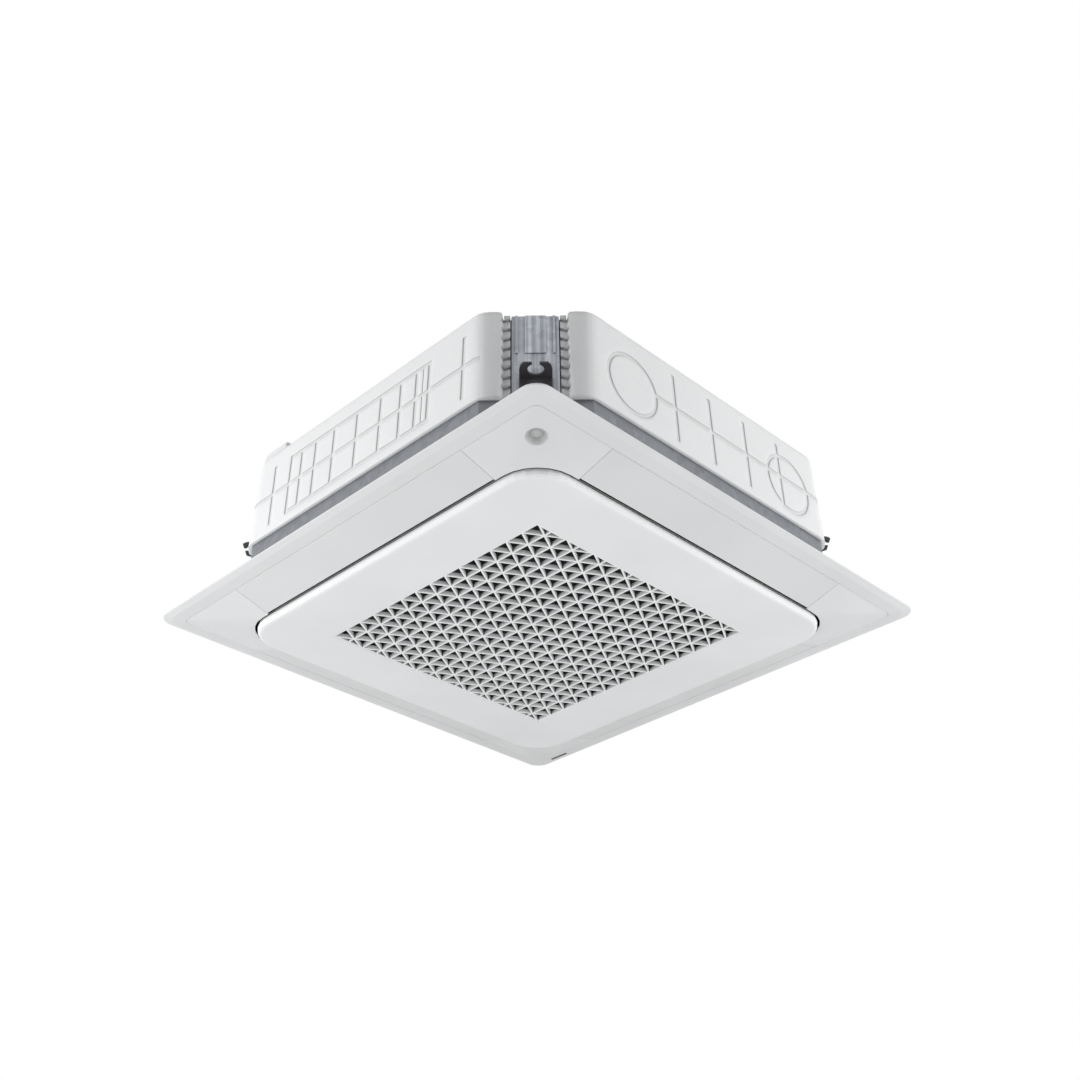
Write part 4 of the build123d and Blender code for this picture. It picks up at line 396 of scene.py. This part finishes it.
# one galvanised zinc in two copies, set to how brightly each shows: painted shade in the darker sheet zinc,
# painted light in the posts' copy, 2.4 times lighter
zinc_sheet = galvanised("zinc_sheet", ZINC, roughness=0.42)
post_zinc_painted_light = galvanised("post_zinc_painted_light", shade(ZINC, 2.4), roughness=0.5, streaks=0.28)
bracket_coat = coated("bracket_coat", BRACKET_BLACK, roughness=0.45)
screw_zinc = bright_metal("screw_zinc", SCREW_ZINC, roughness=0.28)
steel_pin = bright_metal("steel_pin", STEEL, roughness=0.22)
copper = bright_metal("copper", COPPER, roughness=0.38)
brass = bright_metal("brass", BRASS, roughness=0.38)
motor_coat = coated("motor_coat", COAT_BLACK, roughness=0.4)
fan_skin = moulded("fan_plastic", FAN_BLACK, roughness=0.5)
bell_skin = moulded("bell_plastic", COAT_BLACK, roughness=0.55)
pale_plastic = moulded("pale_plastic", PALE_GREY, roughness=0.5)
dark_plastic = moulded("dark_plastic", PART_BLACK, roughness=0.5)
filter_skin = moulded("filter_plastic", FILTER_BLACK, roughness=0.6)
mesh_net = woven("filter_net", NET_BLACK)
seal_foam = foam("seal_foam", SEAL_BLACK)
roof_foam = foam("roof_foam", ROOF_BLACK)
rubber = foam("rubber", RUBBER_BLACK)
fins = finned("fins", ALUMINIUM)
board_green = coated("board_lacquer", BOARD_GREEN, roughness=0.35)
lens_gloss = moulded("lens_gloss", LENS_BLACK, roughness=0.12, grain_depth=0.000001)

finish_of = {
    "panel_frame": panel_skin, "receiver_lens": lens_gloss, "panel_screws": screw_zinc,
    "intake_panel": intake_skin, "grille_lattice": lattice_skin, "filter_frame": filter_skin,
    "filter_mesh": mesh_net, "hinge_pins": steel_pin, "latch_bodies": pale_plastic,
    "latch_plunger_left": dark_plastic, "latch_plunger_right": dark_plastic,
    "louver_bushes": pale_plastic, "louver_motors": zinc_sheet, "base_band": zinc_sheet,
    "corner_posts": post_zinc_painted_light, "hanger_brackets": bracket_coat, "hanger_screws": screw_zinc,
    "drain_pan": pan_skin, "outlet_seals": seal_foam, "intake_seal": seal_foam,
    "bell_mouth": bell_skin, "bell_mouth_screws": screw_zinc, "top_plate": zinc_sheet,
    "top_foam": roof_foam, "coil_fins": fins, "coil_end_plates": zinc_sheet,
    "return_bends": copper, "gas_pipe": copper, "liquid_pipe": copper, "flare_nuts": brass,
    "pipe_plate": zinc_sheet, "drain_pump": pale_plastic, "drain_hose": rubber,
    "drain_outlet": pale_plastic, "float_switch": dark_plastic, "drain_float": pale_plastic,
    "turbo_fan": fan_skin, "motor_shaft": steel_pin, "fan_nut": screw_zinc,
    "fan_motor": motor_coat, "motor_mounts": rubber, "motor_studs": screw_zinc,
    "control_box": zinc_sheet, "control_cover": zinc_sheet, "circuit_board": board_green,
    "terminal_block": pale_plastic,
}
# nodes that come in sets, by how their names start
finish_of_set = {"louver": louver_skin, "side_shell": shell_skin, "corner_cover": cover_skin}

# widest angle between faces that are shaded as one, for rounded stretches in short steps
SMOOTH_ANGLE = radians(24)
smooth_angle_of_set = {
    "corner_cover": radians(14), "side_shell": radians(34), "intake_panel": radians(34),
}


def by_start(name, table, default=None):
    """Entry of a table whose key a name starts with."""
    return next((entry for start, entry in table.items() if name.startswith(start)), default)


def smooth(item, angle):
    """Smooth shading across the short steps of rounded stretches, sharp at real edges."""
    for polygon in item.data.polygons:
        polygon.use_smooth = True
    item.data.set_sharp_from_angle(angle=angle)


for name, node in nodes.items():
    node.data.materials.clear()
    node.data.materials.append(finish_of.get(name) or by_start(name, finish_of_set))
    smooth(node, by_start(name, smooth_angle_of_set, SMOOTH_ANGLE))


# ---------------------------------------------------------------- camera
SENSOR_MM = 36.0
LENS_MM = 49.267
CLIP_END = 60
CAMERA_PLACE = Vector((1.6122, -1.6208, -1.4157))
YAW = radians(134.699)
PITCH = radians(32.05)
ROLL = radians(-0.71)

camera_data = bpy.data.cameras.new("camera")
camera = bpy.data.objects.new("camera", camera_data)
bpy.context.scene.collection.objects.link(camera)
bpy.context.scene.camera = camera
camera_data.sensor_width = SENSOR_MM
camera_data.lens = LENS_MM
camera_data.clip_end = CLIP_END
forward = Vector((cos(PITCH) * cos(YAW), cos(PITCH) * sin(YAW), sin(PITCH)))
level_right = forward.cross(Vector((0, 0, 1))).normalized()
level_up = level_right.cross(forward)
right = cos(ROLL) * level_right + sin(ROLL) * level_up
upright = -sin(ROLL) * level_right + cos(ROLL) * level_up
facing = Matrix((right, upright, -forward)).transposed()
camera.matrix_world = Matrix.Translation(CAMERA_PLACE) @ facing.to_4x4()

# ---------------------------------------------------------------- floor
FLOOR_Z = -3.0
FLOOR_REACH = 14.0

floor_mesh = bpy.data.meshes.new("floor")
corners = [(x * FLOOR_REACH, y * FLOOR_REACH, 0) for x, y in ((-1, -1), (1, -1), (1, 1), (-1, 1))]
floor_mesh.from_pydata(corners, [], [(0, 1, 2, 3)])
floor = bpy.data.objects.new("floor", floor_mesh)
floor.location = (0, 0, FLOOR_Z)
bpy.context.scene.collection.objects.link(floor)
floor_mesh.materials.append(paper("floor_paper", FLOOR_GREY))


# ---------------------------------------------------------------- lamps
def lamp(name, place, target, size, power):
    """Soft square lamp aimed at a point."""
    data = bpy.data.lights.new(name, "AREA")
    data.size = size
    data.energy = power
    item = bpy.data.objects.new(name, data)
    bpy.context.scene.collection.objects.link(item)
    aim = (Vector(target) - Vector(place)).to_track_quat("-Z", "Y")
    item.matrix_world = Matrix.Translation(Vector(place)) @ aim.to_matrix().to_4x4()


lamp("front_lamp", place=(-2.0, -2.8, -0.2), target=(0, 0, 0.05), size=1.6, power=50)
lamp("side_lamp", place=(2.8, 2.0, -0.2), target=(0, 0, 0.05), size=1.6, power=40)
lamp("low_left_lamp", place=(-0.8, -1.8, -1.5), target=(-0.2, -0.2, -0.1), size=1.3, power=18)
lamp("low_right_lamp", place=(1.8, 0.8, -1.5), target=(0.2, 0.2, -0.1), size=1.3, power=16)
lamp("top_lamp", place=(-1.4, 1.2, 2.6), target=(0, 0, 0), size=2.2, power=20)

# ---------------------------------------------------------------- world
# plain soft light, and white where a ray sees the background itself
SOFT_LIGHT = 0.49
SEEN_LIGHT = 1.0

world = bpy.data.worlds.new("world")
bpy.context.scene.world = world
world.use_nodes = True
sky = world.node_tree
sky.nodes.clear()


def background(strength):
    """White background of a strength."""
    node = sky.nodes.new("ShaderNodeBackground")
    node.inputs["Color"].default_value = (1, 1, 1, 1)
    node.inputs["Strength"].default_value = strength
    return node.outputs["Background"]


rays = sky.nodes.new("ShaderNodeLightPath").outputs
seen = calculated(sky, "MAXIMUM", rays["Is Camera Ray"], rays["Is Glossy Ray"])
seen = calculated(sky, "MAXIMUM", seen, rays["Is Transmission Ray"])
choice = sky.nodes.new("ShaderNodeMixShader")
sky.links.new(seen, choice.inputs["Fac"])
sky.links.new(background(SOFT_LIGHT), choice.inputs[1])
sky.links.new(background(SEEN_LIGHT), choice.inputs[2])
world_out = sky.nodes.new("ShaderNodeOutputWorld")
sky.links.new(choice.outputs["Shader"], world_out.inputs["Surface"])

bpy.context.scene.view_settings.view_transform = "Standard"

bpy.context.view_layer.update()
